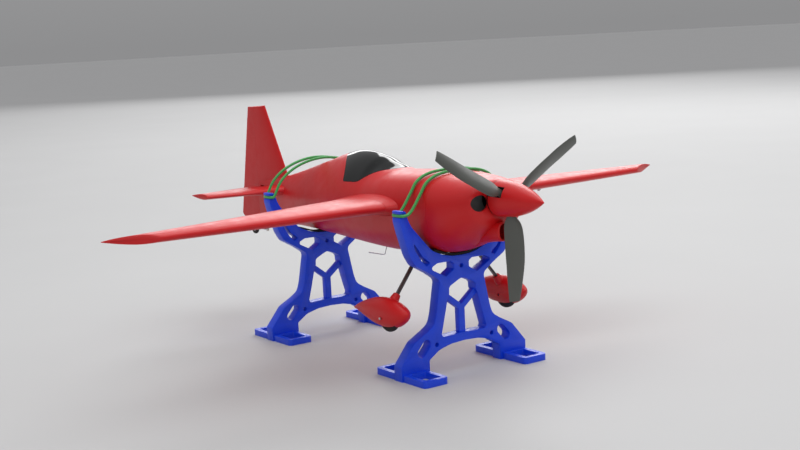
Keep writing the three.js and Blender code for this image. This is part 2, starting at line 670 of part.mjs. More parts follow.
function chin(inset, from, to) {
  const rows = CHIN_STATIONS.map(([x, top, bottom, halfWidth], i) => {
    const place = i === 0 ? from : i === CHIN_STATIONS.length - 1 ? to : x;
    const waist = (top + bottom) / 2;
    const [t, b, w] = [top - inset, bottom + inset, halfWidth - inset];
    return roundedSection(place, t, b, w, waist, 2.6, 2.6, 16);
  });
  return loft(rows);
}

function addCowl() {
  const outer = bodyLoft([COWL_JOINT_X, 230, 245, 258, 268, 277, COWL_FRONT_X], 0).add(chin(0, 236, 292));
  const inner = bodyLoft([COWL_JOINT_X - 5, 230, 245, 258, 270, COWL_FRONT_X - 3], SKIN, 20);
  const shaftHole = bar(v3(260, 0, PROP.z), v3(300, 0, PROP.z), 16, 16, 20);
  const { y, z, halfWidth, halfHeight } = CHEEK;
  const cheek = new THREE.Shape().absellipse(y, z, halfWidth, halfHeight, 0, 2 * Math.PI);
  const cheekCut = plate(cheek, 30, "x", COWL_FRONT_X - 5, 10);
  add("cowl", cut(outer, inner, chin(2.2, 234, 300), shaftHole, cheekCut, mirrorY(cheekCut)), RED);
}

// ---------------------------------------------------------------- landing gear
// Wheel pant stations: x, top, bottom, half width.
const PANT_STATIONS = [
  [95.5, 81.6, 79.6, 1],
  [110, 88.5, 77, 5.6],
  [130, 95.8, 71.2, 9.9],
  [150, 101, 66.4, 12.4],
  [171, 102.9, 64, 13.3],
  [190, 100.6, 66.6, 12.8],
  [204, 96, 73.2, 10.2],
  [211.5, 92, 79.6, 6.4],
  [215.4, 88.6, 85.4, 1.4],
];

function pantLoft(inset, from = 0, to = PANT_STATIONS.length) {
  return loft(PANT_STATIONS.slice(from, to).map(([x, top, bottom, halfWidth]) => {
    const waist = (top + bottom) / 2;
    return roundedSection(x, top - inset, bottom + inset, halfWidth - inset, waist, 2.1, 2.1, 14, WHEEL.y);
  }));
}

function addGearSide(side) {
  const place = (made) => (side === "left" ? made : mirrorY(made));
  const { x, y, z, radius, width } = WHEEL;
  const half = width / 2;
  add(`gear_leg_${side}`, place(cut(gearLeg(), bar(v3(x, 70, z), v3(x, 100, z), 1.6 + 0.1))), CARBON);

  const [, , kneeZ] = LEG.knee;
  const outward = v3(0, LEG.top[1] - LEG.knee[1], LEG.top[2] - kneeZ).normalize();
  const kneePoint = v3(...LEG.knee);
  const collar = bar(kneePoint, kneePoint.clone().addScaledVector(outward, 11.6), 6.8, 4.7, 12);
  const wheelRoom = block([x - radius - 2, y - 7.6, 50], [x + radius + 2, y + 7.6, 76]);
  const axleHole = bar(v3(x, 70, z), v3(x, 120, z), 1.6 + GAP);
  const pant = cut(pantLoft(0).add(collar), pantLoft(1.3, 1, 8), wheelRoom, gearLeg(GAP), axleHole);
  add(`wheel_pant_${side}`, place(pant), RED);

  const tyre = turned(
    [[-half + 0.8, 12.5], [-half, 14.4], [-half + 0.6, 17.4], [-half + 3, radius],
      [half - 3, radius], [half - 0.6, 17.4], [half, 14.4], [half - 0.8, 12.5], [-half + 0.8, 12.5]],
    v3(x, y, z), v3(0, 1, 0), 24,
  );
  add(`tyre_${side}`, place(tyre), RUBBER);
  const hub = turned(
    [[-4.4, 1.7], [-4.4, 4], [-2, 5], [-2, 10], [-4, 12.1], [4, 12.1], [2, 10], [2, 5], [4.4, 4],
      [4.4, 1.7], [-4.4, 1.7]],
    v3(x, y, z), v3(0, 1, 0), 16,
  );
  add(`wheel_hub_${side}`, place(hub), ALLOY);
  const inboard = LEG.foot[1] - LEG.thickness / 2;
  const axle = turned(
    [[inboard - y - 1.9, 0], [inboard - y - 1.9, 2.7], [inboard - y - 0.4, 2.7], [inboard - y - 0.4, 1.6],
      [15.2, 1.6], [15.2, 0]],
    v3(x, y, z), v3(0, 1, 0), 16,
  );
  add(`axle_${side}`, place(axle), STEEL);
}

function addGearBlock() {
  const leg = gearLeg(GAP);
  const body = block([157, -39, 162.6], [185, 39, 170.5]);
  const inside = bodyLoft([140, 170, 200], SKIN + 0.6, 20);
  add("gear_block", cut(body.intersect(inside), leg, mirrorY(leg)), PLYWOOD);
}

// ---------------------------------------------------------------- motor, spinner and propeller
const ALONG = v3(1, 0, 0);
const thrust = (x) => v3(x, 0, PROP.z);

function addPowerUnit() {
  const inside = bodyLoft([203, 206.4, 225], SKIN + GAP, 20);
  const firewall = block([203.2, -70, 140], [206.2, 70, 270]).intersect(inside);
  add("firewall", cut(firewall, bar(thrust(200), thrust(210), 6, 6, 16)), PLYWOOD);
  const mount = turned([[0, 7], [0, 19], [3, 19], [3, 15], [24, 15], [24, 18], [27, 18], [27, 7], [0, 7]],
    thrust(206.6), ALONG, 16);
  add("motor_mount", mount, BLACK_PLASTIC);
  const stator = turned([[0, 3.2], [0, 16], [3, 16], [3, 13.6], [24, 13.6], [24, 3.2], [0, 3.2]],
    thrust(233.8), ALONG, 20);
  add("motor_stator", stator, ALLOY);
  const bell = turned(
    [[0, 15.2], [0, 17.5], [24, 17.5], [27.5, 13], [27.5, 2.9], [24.8, 2.9], [24.8, 11.5], [22, 15.2],
      [0, 15.2]],
    thrust(237.4), ALONG, 24,
  );
  add("motor_bell", bell, paint(0x2b2d31, 0.35, 0.8));
  const adapter = turned(
    [[0, 0], [0, 2.5], [33, 2.5], [33, 5], [47, 8], [51.8, 8], [51.8, 3.7], [92, 3.7], [92, 0]],
    thrust(234.6), ALONG, 20,
  );
  add("prop_adapter", adapter, STEEL);
  const disc = [[0, 4.1], [0, 22.2], [1.8, 22.2], [1.8, 4.1], [0, 4.1]];
  add("spinner_backplate", turned(disc, thrust(286.9), ALONG, 24), ALLOY);
  const nut = new THREE.CylinderGeometry(6.6, 6.6, 6.4, 6).rotateZ(Math.PI / 2).translate(321, 0, PROP.z);
  add("prop_nut", cut(solid(nut), bar(thrust(310), thrust(330), 4.1, 4.1, 16)), STEEL);
}

const BLADE_ANGLES = [-90, 30, 150]; // from +Y towards +Z
const BLADE_STATIONS = [
  // radius, chord, thickness, shift towards the leading edge
  [6, 11, 6.8, 0],
  [21.5, 11.6, 5.8, 0],
  [27, 18, 5.1, 0.8],
  [35, 22.2, 4.3, 1.8],
  [48, 23.6, 3.6, 2.6],
  [64, 23.6, 2.9, 3],
  [80, 22.4, 2.4, 3],
  [98, 19.8, 2, 2],
  [114, 16.6, 1.7, 1],
  [PROP.radius, 13.6, 1.4, 0],
];
const STEEPEST_BLADE = THREE.MathUtils.degToRad(31); // the blade's angle all along its inner part

// A blade along +Y: its leading edge is ahead of its motion, which is clockwise seen from behind.
function blade() {
  return loft(BLADE_STATIONS.map(([radius, chord, thickness, shift]) => {
    const angle = Math.min(Math.atan2(PROP.pitch, 2 * Math.PI * radius), STEEPEST_BLADE);
    const along = v3(Math.sin(angle), 0, Math.cos(angle));
    const normal = v3(Math.cos(angle), 0, -Math.sin(angle));
    return Array.from({ length: 8 }, (_, i) => {
      const turn = (i / 8) * 2 * Math.PI;
      return v3(0, radius, 0)
        .addScaledVector(along, (Math.cos(turn) * chord) / 2 + shift)
        .addScaledVector(normal, (Math.sin(turn) * thickness) / 2);
    });
  }));
}

const aboutThrust = (made, angle) => made.rotate([angle, 0, 0]).translate([PROP.x, 0, PROP.z]);

function addPropeller() {
  const hub = solid(new THREE.CylinderGeometry(PROP.hubRadius, PROP.hubRadius, 23, 24).rotateZ(Math.PI / 2));
  const blades = BLADE_ANGLES.map((angle) => blade().rotate([angle, 0, 0]));
  const bore = bar(v3(-40, 0, 0), v3(40, 0, 0), 4.1, 4.1, 16);
  const propeller = cut(join(hub.translate([0.8, 0, 0]), ...blades), bore);
  add("propeller", propeller.translate([PROP.x, 0, PROP.z]), PROP_GREY);

  const length = SPINNER.tip - SPINNER.base;
  const rho = (SPINNER.radius ** 2 + length ** 2) / (2 * SPINNER.radius);
  const ogive = (t) => [
    t * length,
    Math.sqrt(rho ** 2 - (t * length) ** 2) + SPINNER.radius - rho,
  ];
  const outside = [...[0, 0.15, 0.32, 0.5, 0.68, 0.84, 0.95].map(ogive), [length, 0]];
  const inside = [0, 0.32, 0.6].map(ogive).map(([x, radius]) => [x, radius - SPINNER.wall]);
  const profile = [...outside, [length * 0.78, 0], ...inside.reverse()];
  const shell = turned([...profile, outside[0]], thrust(SPINNER.base), ALONG, 24);
  const notches = BLADE_ANGLES.map((angle) =>
    aboutThrust(block([-30, 10, -7], [6.4, 40, 7]), angle));
  add("spinner", cut(shell, ...notches), RED);
}

// ---------------------------------------------------------------- stands, pads and straps
// Half outline of the web, from the middle of the arch round the foot and horn to the saddle.
const WEB_HALF = [
  [0, 36.7], [22, 35.6], [41, 31], [57.5, 20.4], [57.5, 0], [101, 0], [101.4, 19.1], [79.2, 45.8],
  [58, 57], [47.3, 63.8], [43, 78], [35.5, 116.6], [37, 121], [50.8, 130.7], [71.3, 142.5], [79, 155],
  [88, 184], [92, 200], [92, 214], [82.4, 214], [80.5, 203], [75.9, 193.4], [59.8, 174.9], [45.4, 158.4],
  [26, 150.6], [14, 148], [0, 147.4],
];
const WINDOW_HALF = [
  [0, 119.4], [19, 110.5], [21.5, 107.5], [21.5, 101], [25.5, 91], [31, 70], [36.5, 50], [34, 46.4],
  [14, 46.8], [0, 47.4],
];
const HORN_SLOT = [[75.4, 176.4], [70.5, 161], [62.5, 148.4], [55.2, 140.6], [47.5, 143.6], [59.4, 152.4]];
const SHOULDER_HOLE = [[50.5, 136.5], [38, 142], [17, 142], [12, 138.5], [12, 131], [25, 123]];
const BOLT_HOLES = [[0, 134], [44.6, 38.3], [-44.6, 38.3]];
const LEG_HOLE = { y: 64.6, z: 36.4, length: 25, width: 13, tilt: -48 };
const bothSides = (half) => [...half, ...half.slice(1, -1).reverse().map(([y, z]) => [-y, z])];
const mirrored = (points) => points.map(([y, z]) => [-y, z]);

function slotOutline({ y, z, length, width, tilt }) {
  const r = width / 2;
  const run = (length - width) / 2;
  const turn = degrees(tilt);
  const ends = [1, -1].map((s) => [y + s * run * Math.cos(turn), z + s * run * Math.sin(turn)]);
  const shape = new THREE.Shape();
  shape.absarc(...ends[0], r, turn - Math.PI / 2, turn + Math.PI / 2, false);
  shape.absarc(...ends[1], r, turn + Math.PI / 2, turn + 1.5 * Math.PI, false);
  return shape;
}

function strut([y0, z0], [y1, z1], width) {
  const along = new THREE.Vector2(y1 - y0, z1 - z0).normalize();
  const [ay, az] = [(-along.y * width) / 2, (along.x * width) / 2];
  return plate(polygon([[y0 + ay, z0 + az], [y1 + ay, z1 + az], [y1 - ay, z1 - az], [y0 - ay, z0 - az]]),
    STAND_STRUT, "x", 0);
}

function roundedRectangle(lowX, lowY, highX, highY, radius) {
  const shape = new THREE.Shape();
  shape.moveTo(lowX + radius, lowY);
  shape.lineTo(highX - radius, lowY);
  shape.absarc(highX - radius, lowY + radius, radius, -Math.PI / 2, 0, false);
  shape.lineTo(highX, highY - radius);
  shape.absarc(highX - radius, highY - radius, radius, 0, Math.PI / 2, false);
  shape.lineTo(lowX + radius, highY);
  shape.absarc(lowX + radius, highY - radius, radius, Math.PI / 2, Math.PI, false);
  shape.lineTo(lowX, lowY + radius);
  shape.absarc(lowX + radius, lowY + radius, radius, Math.PI, 1.5 * Math.PI, false);
  return shape;
}

function standSolid() {
  const { innerY, outerY, halfLength, height, corner } = FOOT;
  const rim = 7;
  const sole = roundedRectangle(-halfLength, innerY, halfLength, outerY, corner);
  const foot = plate(sole, height, "z", height / 2, 2);
  const slots = [-1, 1].map((end) => {
    const [near, far] = [STAND_WEB / 2 + 5, halfLength - rim].map((value) => value * end);
    const shape = roundedRectangle(Math.min(near, far), innerY + rim, Math.max(near, far), outerY - rim, 2.5);
    return plate(shape, 40, "z", 0, 1);
  });
  const leftFoot = cut(foot, ...slots);
  const web = plate(polygon(bothSides(WEB_HALF)), STAND_WEB, "x", 0);
  const holes = [
    polygon(bothSides(WINDOW_HALF)),
    polygon(HORN_SLOT), polygon(mirrored(HORN_SLOT)),
    polygon(SHOULDER_HOLE), polygon(mirrored(SHOULDER_HOLE)),
    slotOutline(LEG_HOLE), slotOutline({ ...LEG_HOLE, y: -LEG_HOLE.y, tilt: 180 - LEG_HOLE.tilt }),
    ...BOLT_HOLES.map(([y, z]) => new THREE.Shape().absarc(y, z, 3, 0, 2 * Math.PI)),
  ].map((shape) => plate(shape, 30, "x", 0, 4));
  const hub = [0, 79];
  const struts = [strut([0, 44], hub, 10), strut([-25, 98.5], hub, 7.5), strut([25, 98.5], hub, 7.5)];
  // Each horn has a groove round its tip, so deep that the strap lies level with its outer face.
  const neck = STAND_WEB / 2 - 0.7;
  const groove = join(
    block([-20, 87.4, 205.6], [20, 100, 210.4]),
    block([neck, 70, 205.6], [20, 100, 210.4]),
    block([-20, 70, 205.6], [-neck, 100, 210.4]),
  );
  return join(cut(web, ...holes, groove, mirrorY(groove)), ...struts, leftFoot, mirrorY(leftFoot));
}

function addStand({ side, x, padTop }) {
  add(`stand_${side}`, standSolid(), BLUE).position.x = x;
  const depth = STAND_WEB - 1;
  const slope = WEB_HALF.slice(-4);
  const saddle = [...mirrored(slope), ...slope.slice(0, -1).reverse()];
  const lifted = saddle.map(([y, z]) => [y * 0.92, z - (Math.abs(y) > 30 ? 1.6 : 0) + GAP]);
  const thick = padTop - 147.4 - GAP;
  const upper = [...lifted].reverse().map(([y, z]) => [y, z + thick]);
  const strip = plate(polygon([...lifted, ...upper]), depth, "x", x);
  const body = bodyLoft([x - 24, x, x + 18], -GAP, 32);
  const web = plate(polygon(bothSides(WEB_HALF)), 40, "x", x).translate([0, 0, GAP * 0.9]);
  add(`saddle_pad_${side}`, cut(strip, body, web), FOAM);
}

// A closed band: a torus bent along the loop of points.
function bandAlong(points, radius, lengthSteps = 72, sides = 5) {
  const path = new THREE.CatmullRomCurve3(points, true, "centripetal");
  const torus = new THREE.TorusGeometry(10, 1, sides, lengthSteps);
  const place = torus.getAttribute("position");
  const frames = path.computeFrenetFrames(lengthSteps, true);
  const centres = path.getSpacedPoints(lengthSteps);
  for (let j = 0, k = 0; j <= sides; j++)
    for (let i = 0; i <= lengthSteps; i++, k++) {
      const turn = ((j % sides) / sides) * 2 * Math.PI;
      const step = i % lengthSteps;
      const point = centres[step].clone()
        .addScaledVector(frames.normals[step], radius * Math.cos(turn))
        .addScaledVector(frames.binormals[step], radius * Math.sin(turn));
      place.setXYZ(k, point.x, point.y, point.z);
    }
  return torus;
}

const HORN_GROOVE = { y: 90.9, z: 208 };

// The front strap hugs the cowl deck: its run over the top follows the body section, standing off it.
function frontArc(x) {
  const stand = STRAP_RADIUS + 0.7;
  const [top, , halfWidth, waist, upper] = bodyCurve.evaluate(x);
  return [24, 40, 56, 72, 90, 108, 124, 140, 156].map((angle) => {
    const [c, s] = [Math.cos(degrees(angle)), Math.sin(degrees(angle))];
    const y = (halfWidth + stand) * Math.sign(c) * Math.abs(c) ** (2 / upper);
    return [y, waist + (top + stand - waist) * s ** (2 / upper)];
  });
}

// The rear strap springs from horn to horn, clear above the tapering tail.
const REAR_ARCH = { halfSpan: 82, rise: 48.7, foot: 208, power: 1.9 };
function rearArc() {
  const { halfSpan, rise, foot, power } = REAR_ARCH;
  return [24, 40, 56, 72, 90, 108, 124, 140, 156].map((angle) => {
    const [c, s] = [Math.cos(degrees(angle)), Math.sin(degrees(angle))];
    return [halfSpan * Math.sign(c) * Math.abs(c) ** (2 / power), foot + rise * s ** (2 / power)];
  });
}

function addStrap(side, standX, arc, lead) {
  const strand = (offset) => {
    const over = arc(standX + offset).map(([y, z]) => v3(standX + offset, y, z));
    const approach = lead.map(([y, z]) => v3(standX + offset, y, z));
    const leave = [...lead].reverse().map(([y, z]) => v3(standX + offset, -y, z));
    return [...approach, ...over, ...leave];
  };
  const { y, z } = HORN_GROOVE;
  const round = (side) => [[9.7, 89.5], [7, y], [-7, y], [-9.7, 89.5]].map(([dx, hornY]) =>
    v3(standX - side * dx, side * hornY, z));
  const loop = [...strand(STRAP_SPREAD), ...round(-1), ...strand(-STRAP_SPREAD).reverse(), ...round(1)];
  add(`strap_${side}`, solid(bandAlong(loop, STRAP_RADIUS)), GREEN);
}

// ---------------------------------------------------------------- equipment inside
function addEquipment() {
  add("battery_tray", block([8, -17, 151], [126, 17, 153.4]), PLYWOOD);
  const bevel = { depth: 101, bevelThickness: 2, bevelSize: 2, bevelSegments: 1, curveSegments: 2 };
  const pack = new THREE.ExtrudeGeometry(roundedRectangle(-15, -10.6, 15, 10.6, 2), bevel);
  pack.applyMatrix4(PLATE_AXES.x).translate(16, 0, 166.6);
  add("battery", solid(pack), WRAP);
  add("speed_controller", block([133, -13, 176], [183, 13, 185]), BLACK_PLASTIC);
  add("receiver", block([-32, -11, 152], [0, 11, 162]), BLACK_PLASTIC);
  for (const { name, arm, direction } of TAIL_SERVOS) {
    const { x, y, z } = arm;
    const bodyY = y - LEVER / 2 - GAP;
    const servo = join(
      block([x - 17, bodyY - 26, z - 6], [x + 6, bodyY - 2.6, z + 6]),
      block([x - 22, bodyY - 10, z - 6], [x + 11, bodyY - 7.8, z + 6]),
      bar(v3(x, bodyY - 8, z), v3(x, bodyY, z), 3),
    );
    add(`${name}_servo`, servo, SERVO_BLUE);
    add(`${name}_servo_arm`, servoArm(arm, direction), NYLON);
  }
  for (const { name, from, to, y, z } of TAIL_RODS)
    add(`${name}_pushrod`, bar(v3(to, y, z), v3(from, y, z), ROD_RADIUS), STEEL);
}

// A stiff wire aerial, bent back under the belly.
function addAntenna() {
  const wire = 0.7;
  const { top, elbow, end } = ANTENNA;
  const past = elbow.clone().addScaledVector(elbow.clone().sub(top).normalize(), 0.3);
  add("antenna", join(bar(top, past, wire, wire, 8), bar(elbow, end, wire, wire, 8)), STEEL);
}

// ---------------------------------------------------------------- assembly
addFuselage();
addCowl();
for (const side of ["left", "right"]) {
  addWing(side);
  addGearSide(side);
}
const sparEnds = [-SPAR.halfLength, SPAR.halfLength];
const sparTube = [[sparEnds[0], SPAR.bore], [sparEnds[0], SPAR.radius], [sparEnds[1], SPAR.radius],
  [sparEnds[1], SPAR.bore], [sparEnds[0], SPAR.bore]];
add("wing_spar", turned(sparTube, v3(SPAR.x, 0, WING.z), v3(0, 1, 0), 20), CARBON);
addTailplane();
addRudder();
addTailWheel();
addGearBlock();
addPowerUnit();
addPropeller();
for (const stand of STANDS) addStand(stand);
const FRONT_LEAD = [[86.5, 208], [79, 210]];
const REAR_LEAD = [[86.5, 208]];
addStrap("front", STANDS[0].x, frontArc, FRONT_LEAD);
addStrap("rear", STANDS[1].x, rearArc, REAR_LEAD);
addEquipment();
addAntenna();

export default group;
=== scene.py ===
import functools
import json
import math

import bmesh
import bpy
import numpy as np
from mathutils import Matrix, Vector


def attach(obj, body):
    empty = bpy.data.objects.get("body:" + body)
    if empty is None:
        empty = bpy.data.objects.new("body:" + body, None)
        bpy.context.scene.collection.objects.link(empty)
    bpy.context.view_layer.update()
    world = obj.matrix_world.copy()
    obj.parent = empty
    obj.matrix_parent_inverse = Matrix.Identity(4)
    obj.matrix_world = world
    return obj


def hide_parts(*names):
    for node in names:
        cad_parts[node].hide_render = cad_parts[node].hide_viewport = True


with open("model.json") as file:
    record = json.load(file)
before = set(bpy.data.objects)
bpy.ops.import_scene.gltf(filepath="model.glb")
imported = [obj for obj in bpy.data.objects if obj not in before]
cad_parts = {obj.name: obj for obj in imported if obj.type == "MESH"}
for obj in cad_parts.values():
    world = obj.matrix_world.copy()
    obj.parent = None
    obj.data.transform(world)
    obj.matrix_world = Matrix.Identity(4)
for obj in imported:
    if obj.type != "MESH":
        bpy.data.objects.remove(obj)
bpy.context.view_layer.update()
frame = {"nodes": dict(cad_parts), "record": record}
scene = bpy.context.scene
scene.view_settings.view_transform = "Standard"

# ---- camera
camera = bpy.data.objects.new("camera", bpy.data.cameras.new("camera"))
scene.collection.objects.link(camera)
camera.data.lens = 58.94
camera.data.sensor_width = 36
RIGHT, UP, BACK = (0.5802, 0.8129, -0.0511), (-0.0892, 0.1257, 0.9881), (0.8096, -0.5687, 0.1455)
CAMERA_AT = (1.5032, -1.0053, 0.4311)
camera.matrix_world = Matrix([*zip(RIGHT, UP, BACK, CAMERA_AT), (0, 0, 0, 1)])
camera.data.clip_end = 50
scene.camera = camera

# ---- dimensions shared with the CAD part
GAP = 0.35
SKIN = 1.6
TAIL_POST_X = -306
COWL_JOINT_X = 214.5
BODY_STATIONS = np.array([
    [-306, 213, 150.2, 4.2, 186, 3.4, 3.4],
    [-262, 219, 150.8, 9, 188, 2.2, 2.8],
    [-216, 224.5, 151.3, 15.5, 190, 1.8, 2.5],
    [-165, 235.5, 151.2, 24, 193, 1.6, 2.3],
    [-124, 246, 150.5, 31.5, 196, 1.6, 2.3],
    [-82, 256.5, 149.2, 38, 199, 1.6, 2.3],
    [-47, 265.6, 147.9, 43.5, 202, 1.65, 2.3],
    [-6, 272.3, 146.2, 49, 205, 1.75, 2.3],
    [40, 267.4, 144.4, 54, 206, 1.75, 2.3],
    [60, 259.6, 143.9, 56, 206, 1.8, 2.3],
    [80, 251, 143.6, 57.5, 206, 2.35, 2.3],
    [100, 251.1, 143.9, 59, 206, 2.6, 2.3],
    [145, 253.1, 146.7, 60.5, 207, 2.8, 2.3],
    [200, 253.9, 151.6, 61, 208, 2.9, 2.3],
    [214.5, 253.6, 154.6, 60.5, 209, 2.8, 2.3],
    [245, 251.8, 167, 57, 214, 2.5, 2.3],
    [268, 250, 182.5, 50.5, 219, 2.3, 2.3],
    [280, 249, 192, 45, 222, 2.2, 2.2],
    [286, 248.4, 197.5, 41, 224, 2.1, 2.1],
])
PROP = dict(x=305.3, z=226.5, pitch=277)
SPINNER = dict(base=289.3, tip=366, radius=22.8, wall=1.4)
WING = dict(z=210.7, dihedral=0.008, leading=141.5, root=74, trailing=13, trail_y=55, sweep=0.2526,
            corner=381, tip=441, thickness=20.3, tip_thickness=11.24)
ROOT_FILLET = dict(reach=24, start=40, length=70)
TIP_BOW = 0.8
SPAR = dict(x=106, radius=5.35)
AILERON = dict(inner=186, outer=402, inner_chord=27, outer_chord=11)
STAB = dict(z=201, half_span=121.5, corner=120.5, thickness=8)
STAB_ROOT = (-216.5, -321.5)
STAB_TIP = (-254, -302)
ELEVATOR_HINGE_X = -285
FIN = dict(top=330.3, thickness=10.5, top_thickness=6.5)
FIN_LEADING = dict(x=-225.4, z=238.9, sweep=-0.555)
FIN_TRAILING = dict(x=-366.2, z=162.8, sweep=0.2305)
RUDDER_BOTTOM = 150.2
WHEEL = dict(x=174, y=95.2, z=78.7, radius=19, width=10)
TAIL_WHEEL = dict(x=-330.5, z=133, radius=9, width=5.6)
STAND_WEB = 16
STAND_STRUT = 8.5
STRAP_GROOVE = dict(low=205.6, high=210.4, waist=87.4, depth=0.7)
STANDS = {"front": 195.5, "rear": -124.5}
PAD_TOP = {"front": 150.9, "rear": 149.9}


def lerp(a, b, t):
    return a + (b - a) * t


def unit(v):
    return v / np.linalg.norm(v)


def table_at(table, place):
    """Straight-line values of (place, value) rows."""
    return float(np.interp(place, *zip(*table)))


# ---- mesh tools
def new_object(name, points, faces):
    mesh = bpy.data.meshes.new(name)
    mesh.from_pydata((np.asarray(points, float) * 0.001).tolist(), [], faces)
    made = bpy.data.objects.new(name, mesh)
    scene.collection.objects.link(made)
    bm = bmesh.new()
    bm.from_mesh(mesh)
    bmesh.ops.remove_doubles(bm, verts=bm.verts, dist=1e-6)
    bmesh.ops.recalc_face_normals(bm, faces=bm.faces)
    if bm.calc_volume(signed=True) < 0:
        bmesh.ops.reverse_faces(bm, faces=bm.faces)
    bm.to_mesh(mesh)
    bm.free()
    return made


def loft(name, rings, cap=True, close=False):
    """A skin over rings of equal count; close joins the last to the first."""
    rings = np.asarray(rings, float)
    n, m = rings.shape[:2]
    faces = []
    for i in range(n if close else n - 1):
        a, b = i * m, ((i + 1) % n) * m
        faces += [(a + j, a + (j + 1) % m, b + (j + 1) % m, b + j) for j in range(m)]
    if cap and not close:
        faces += [tuple(range(m))[::-1], tuple(range((n - 1) * m, n * m))]
    return new_object(name, rings.reshape(-1, 3), faces)


PLANES = {"x": (1, 2, 0), "y": (0, 2, 1), "z": (0, 1, 2)}


def prism(name, outline, axis, low, high):
    """A plane outline, extruded along an axis."""
    a, b, c = PLANES[axis]
    n = len(outline)
    points = np.zeros((2 * n, 3))
    points[:, [a, b]] = np.tile(np.asarray(outline, float), (2, 1))
    points[:, c] = np.repeat([low, high], n)
    faces = [tuple(range(n))[::-1], tuple(range(n, 2 * n))]
    faces += [(i, (i + 1) % n, n + (i + 1) % n, n + i) for i in range(n)]
    return new_object(name, points, faces)


def rectangle(x0, y0, x1, y1):
    return [(x0, y0), (x1, y0), (x1, y1), (x0, y1)]


def ellipse(a, b, half_a, half_b, count=32):
    return [(a + half_a * math.cos(t), b + half_b * math.sin(t)) for t in turns(count)]


def block(name, low, high):
    return prism(name, rectangle(*low[:2], *high[:2]), "z", low[2], high[2])


def basis_along(direction):
    d = unit(np.asarray(direction, float))
    side = unit(np.cross(d, (0, 0, 1) if abs(d[2]) < 0.9 else (1, 0, 0)))
    return d, side, np.cross(d, side)


def turns(count):
    return np.linspace(0, 2 * math.pi, count, endpoint=False)


def hoop(centre, radius, u, v, count):
    """Points round a circle in the plane of u and v."""
    t = turns(count)[:, None]
    return np.asarray(centre) + radius * (u * np.cos(t) + v * np.sin(t))


def lathe(name, profile, origin, axis, segments=64):
    """A closed profile of (axial, radius) pairs turned about an axis."""
    d, u, v = basis_along(axis)
    hoops = [hoop(origin + d * s, max(r, 1e-4), u, v, segments) for s, r in profile]
    return loft(name, np.swapaxes(hoops, 0, 1), close=True)


def rod(name, start, end, radius, sides=24):
    _, u, v = basis_along(np.subtract(end, start))
    return loft(name, [hoop(centre, radius, u, v, sides) for centre in (start, end)])


def spline(points, per=12, closed=False):
    """Points along a centripetal Catmull-Rom curve."""
    p = [np.asarray(q, float) for q in points]
    p = [p[-1]] + p + p[:2] if closed else [2 * p[0] - p[1]] + p + [2 * p[-1] - p[-2]]
    out = []
    for k in range(len(p) - 3):
        a, b, c, d = p[k:k + 4]
        knots = np.cumsum([0] + [max(np.linalg.norm(f), 1e-6) ** 0.5 for f in (b - a, c - b, d - c)])
        for t in np.linspace(knots[1], knots[2], per, endpoint=False):
            mix = lambda p0, p1, i, j: lerp(p0, p1, (t - knots[i]) / (knots[j] - knots[i]))
            first, middle, last = mix(a, b, 0, 1), mix(b, c, 1, 2), mix(c, d, 2, 3)
            out.append(mix(mix(first, middle, 0, 2), mix(middle, last, 1, 3), 1, 2))
    return out if closed else out + [p[-2]]


def tube(name, path, radius, sides=14, closed=False):
    """A round tube along a path, without twist."""
    path = np.asarray(path, float)
    n = len(path)
    ahead = np.roll(path, -1, 0) - np.roll(path, 1, 0)
    if not closed:
        ahead[0], ahead[-1] = path[1] - path[0], path[-1] - path[-2]
    ahead /= np.linalg.norm(ahead, axis=1)[:, None]
    normal = basis_along(ahead[0])[1]
    normals = []
    for d in ahead:
        normal = unit(normal - d * normal.dot(d))
        normals.append(normal)
    normals = np.array(normals)
    if closed:  # spread the twist that is left over the loop
        end = unit(normals[-1] - ahead[0] * normals[-1].dot(ahead[0]))
        twist = math.atan2(np.cross(normals[0], end).dot(ahead[0]), normals[0].dot(end))
        t = -twist * np.arange(n)[:, None] / n
        normals = normals * np.cos(t) + np.cross(ahead, normals) * np.sin(t)
    rings = [hoop(p, radius, u, np.cross(d, u), sides) for p, u, d in zip(path, normals, ahead)]
    return loft(name, rings, close=closed)


def modify(target, kind, settings):
    """Apply one modifier to a mesh for good."""
    modifier = target.modifiers.new(kind, kind)
    for key, value in settings.items():
        setattr(modifier, key, value)
    bpy.context.view_layer.update()
    graph = bpy.context.evaluated_depsgraph_get()
    mesh = bpy.data.meshes.new_from_object(target.evaluated_get(graph))
    target.modifiers.clear()
    old = target.data
    target.data = mesh
    bpy.data.meshes.remove(old)


def combine(operation, target, *tools):
    for tool in tools:
        modify(target, "BOOLEAN", dict(operation=operation, solver="MANIFOLD", object=tool))
        bpy.data.objects.remove(tool)
    return target


cut, join, clip = (functools.partial(combine, how) for how in ("DIFFERENCE", "UNION", "INTERSECT"))


def copy(target, name):
    made = target.copy()
    made.data = target.data.copy()
    made.name = name
    scene.collection.objects.link(made)
    return made


def mirrored(target, name):
    made = copy(target, name)
    bm = bmesh.new()
    bm.from_mesh(made.data)
    bmesh.ops.transform(bm, matrix=Matrix.Scale(-1, 4, (0, 1, 0)), verts=bm.verts)
    bmesh.ops.reverse_faces(bm, faces=bm.faces)
    bm.to_mesh(made.data)
    bm.free()
    return made


def shift(target, x=0, z=0):
    target.data.transform(Matrix.Translation((x * 0.001, 0, z * 0.001)))
    return target


def bevel(target, width):
    modify(target, "BEVEL", dict(
        width=width * 0.001, segments=2, limit_method="ANGLE", angle_limit=math.radians(40),
        use_clamp_overlap=True, miter_outer="MITER_ARC"))
    return target


SMOOTH_BELOW = math.radians(32)


def smooth(target):
    bm = bmesh.new()
    bm.from_mesh(target.data)
    for face in bm.faces:
        face.smooth = True
    for edge in bm.edges:
        edge.smooth = len(edge.link_faces) != 2 or edge.calc_face_angle(0) < SMOOTH_BELOW
    bm.to_mesh(target.data)
    bm.free()


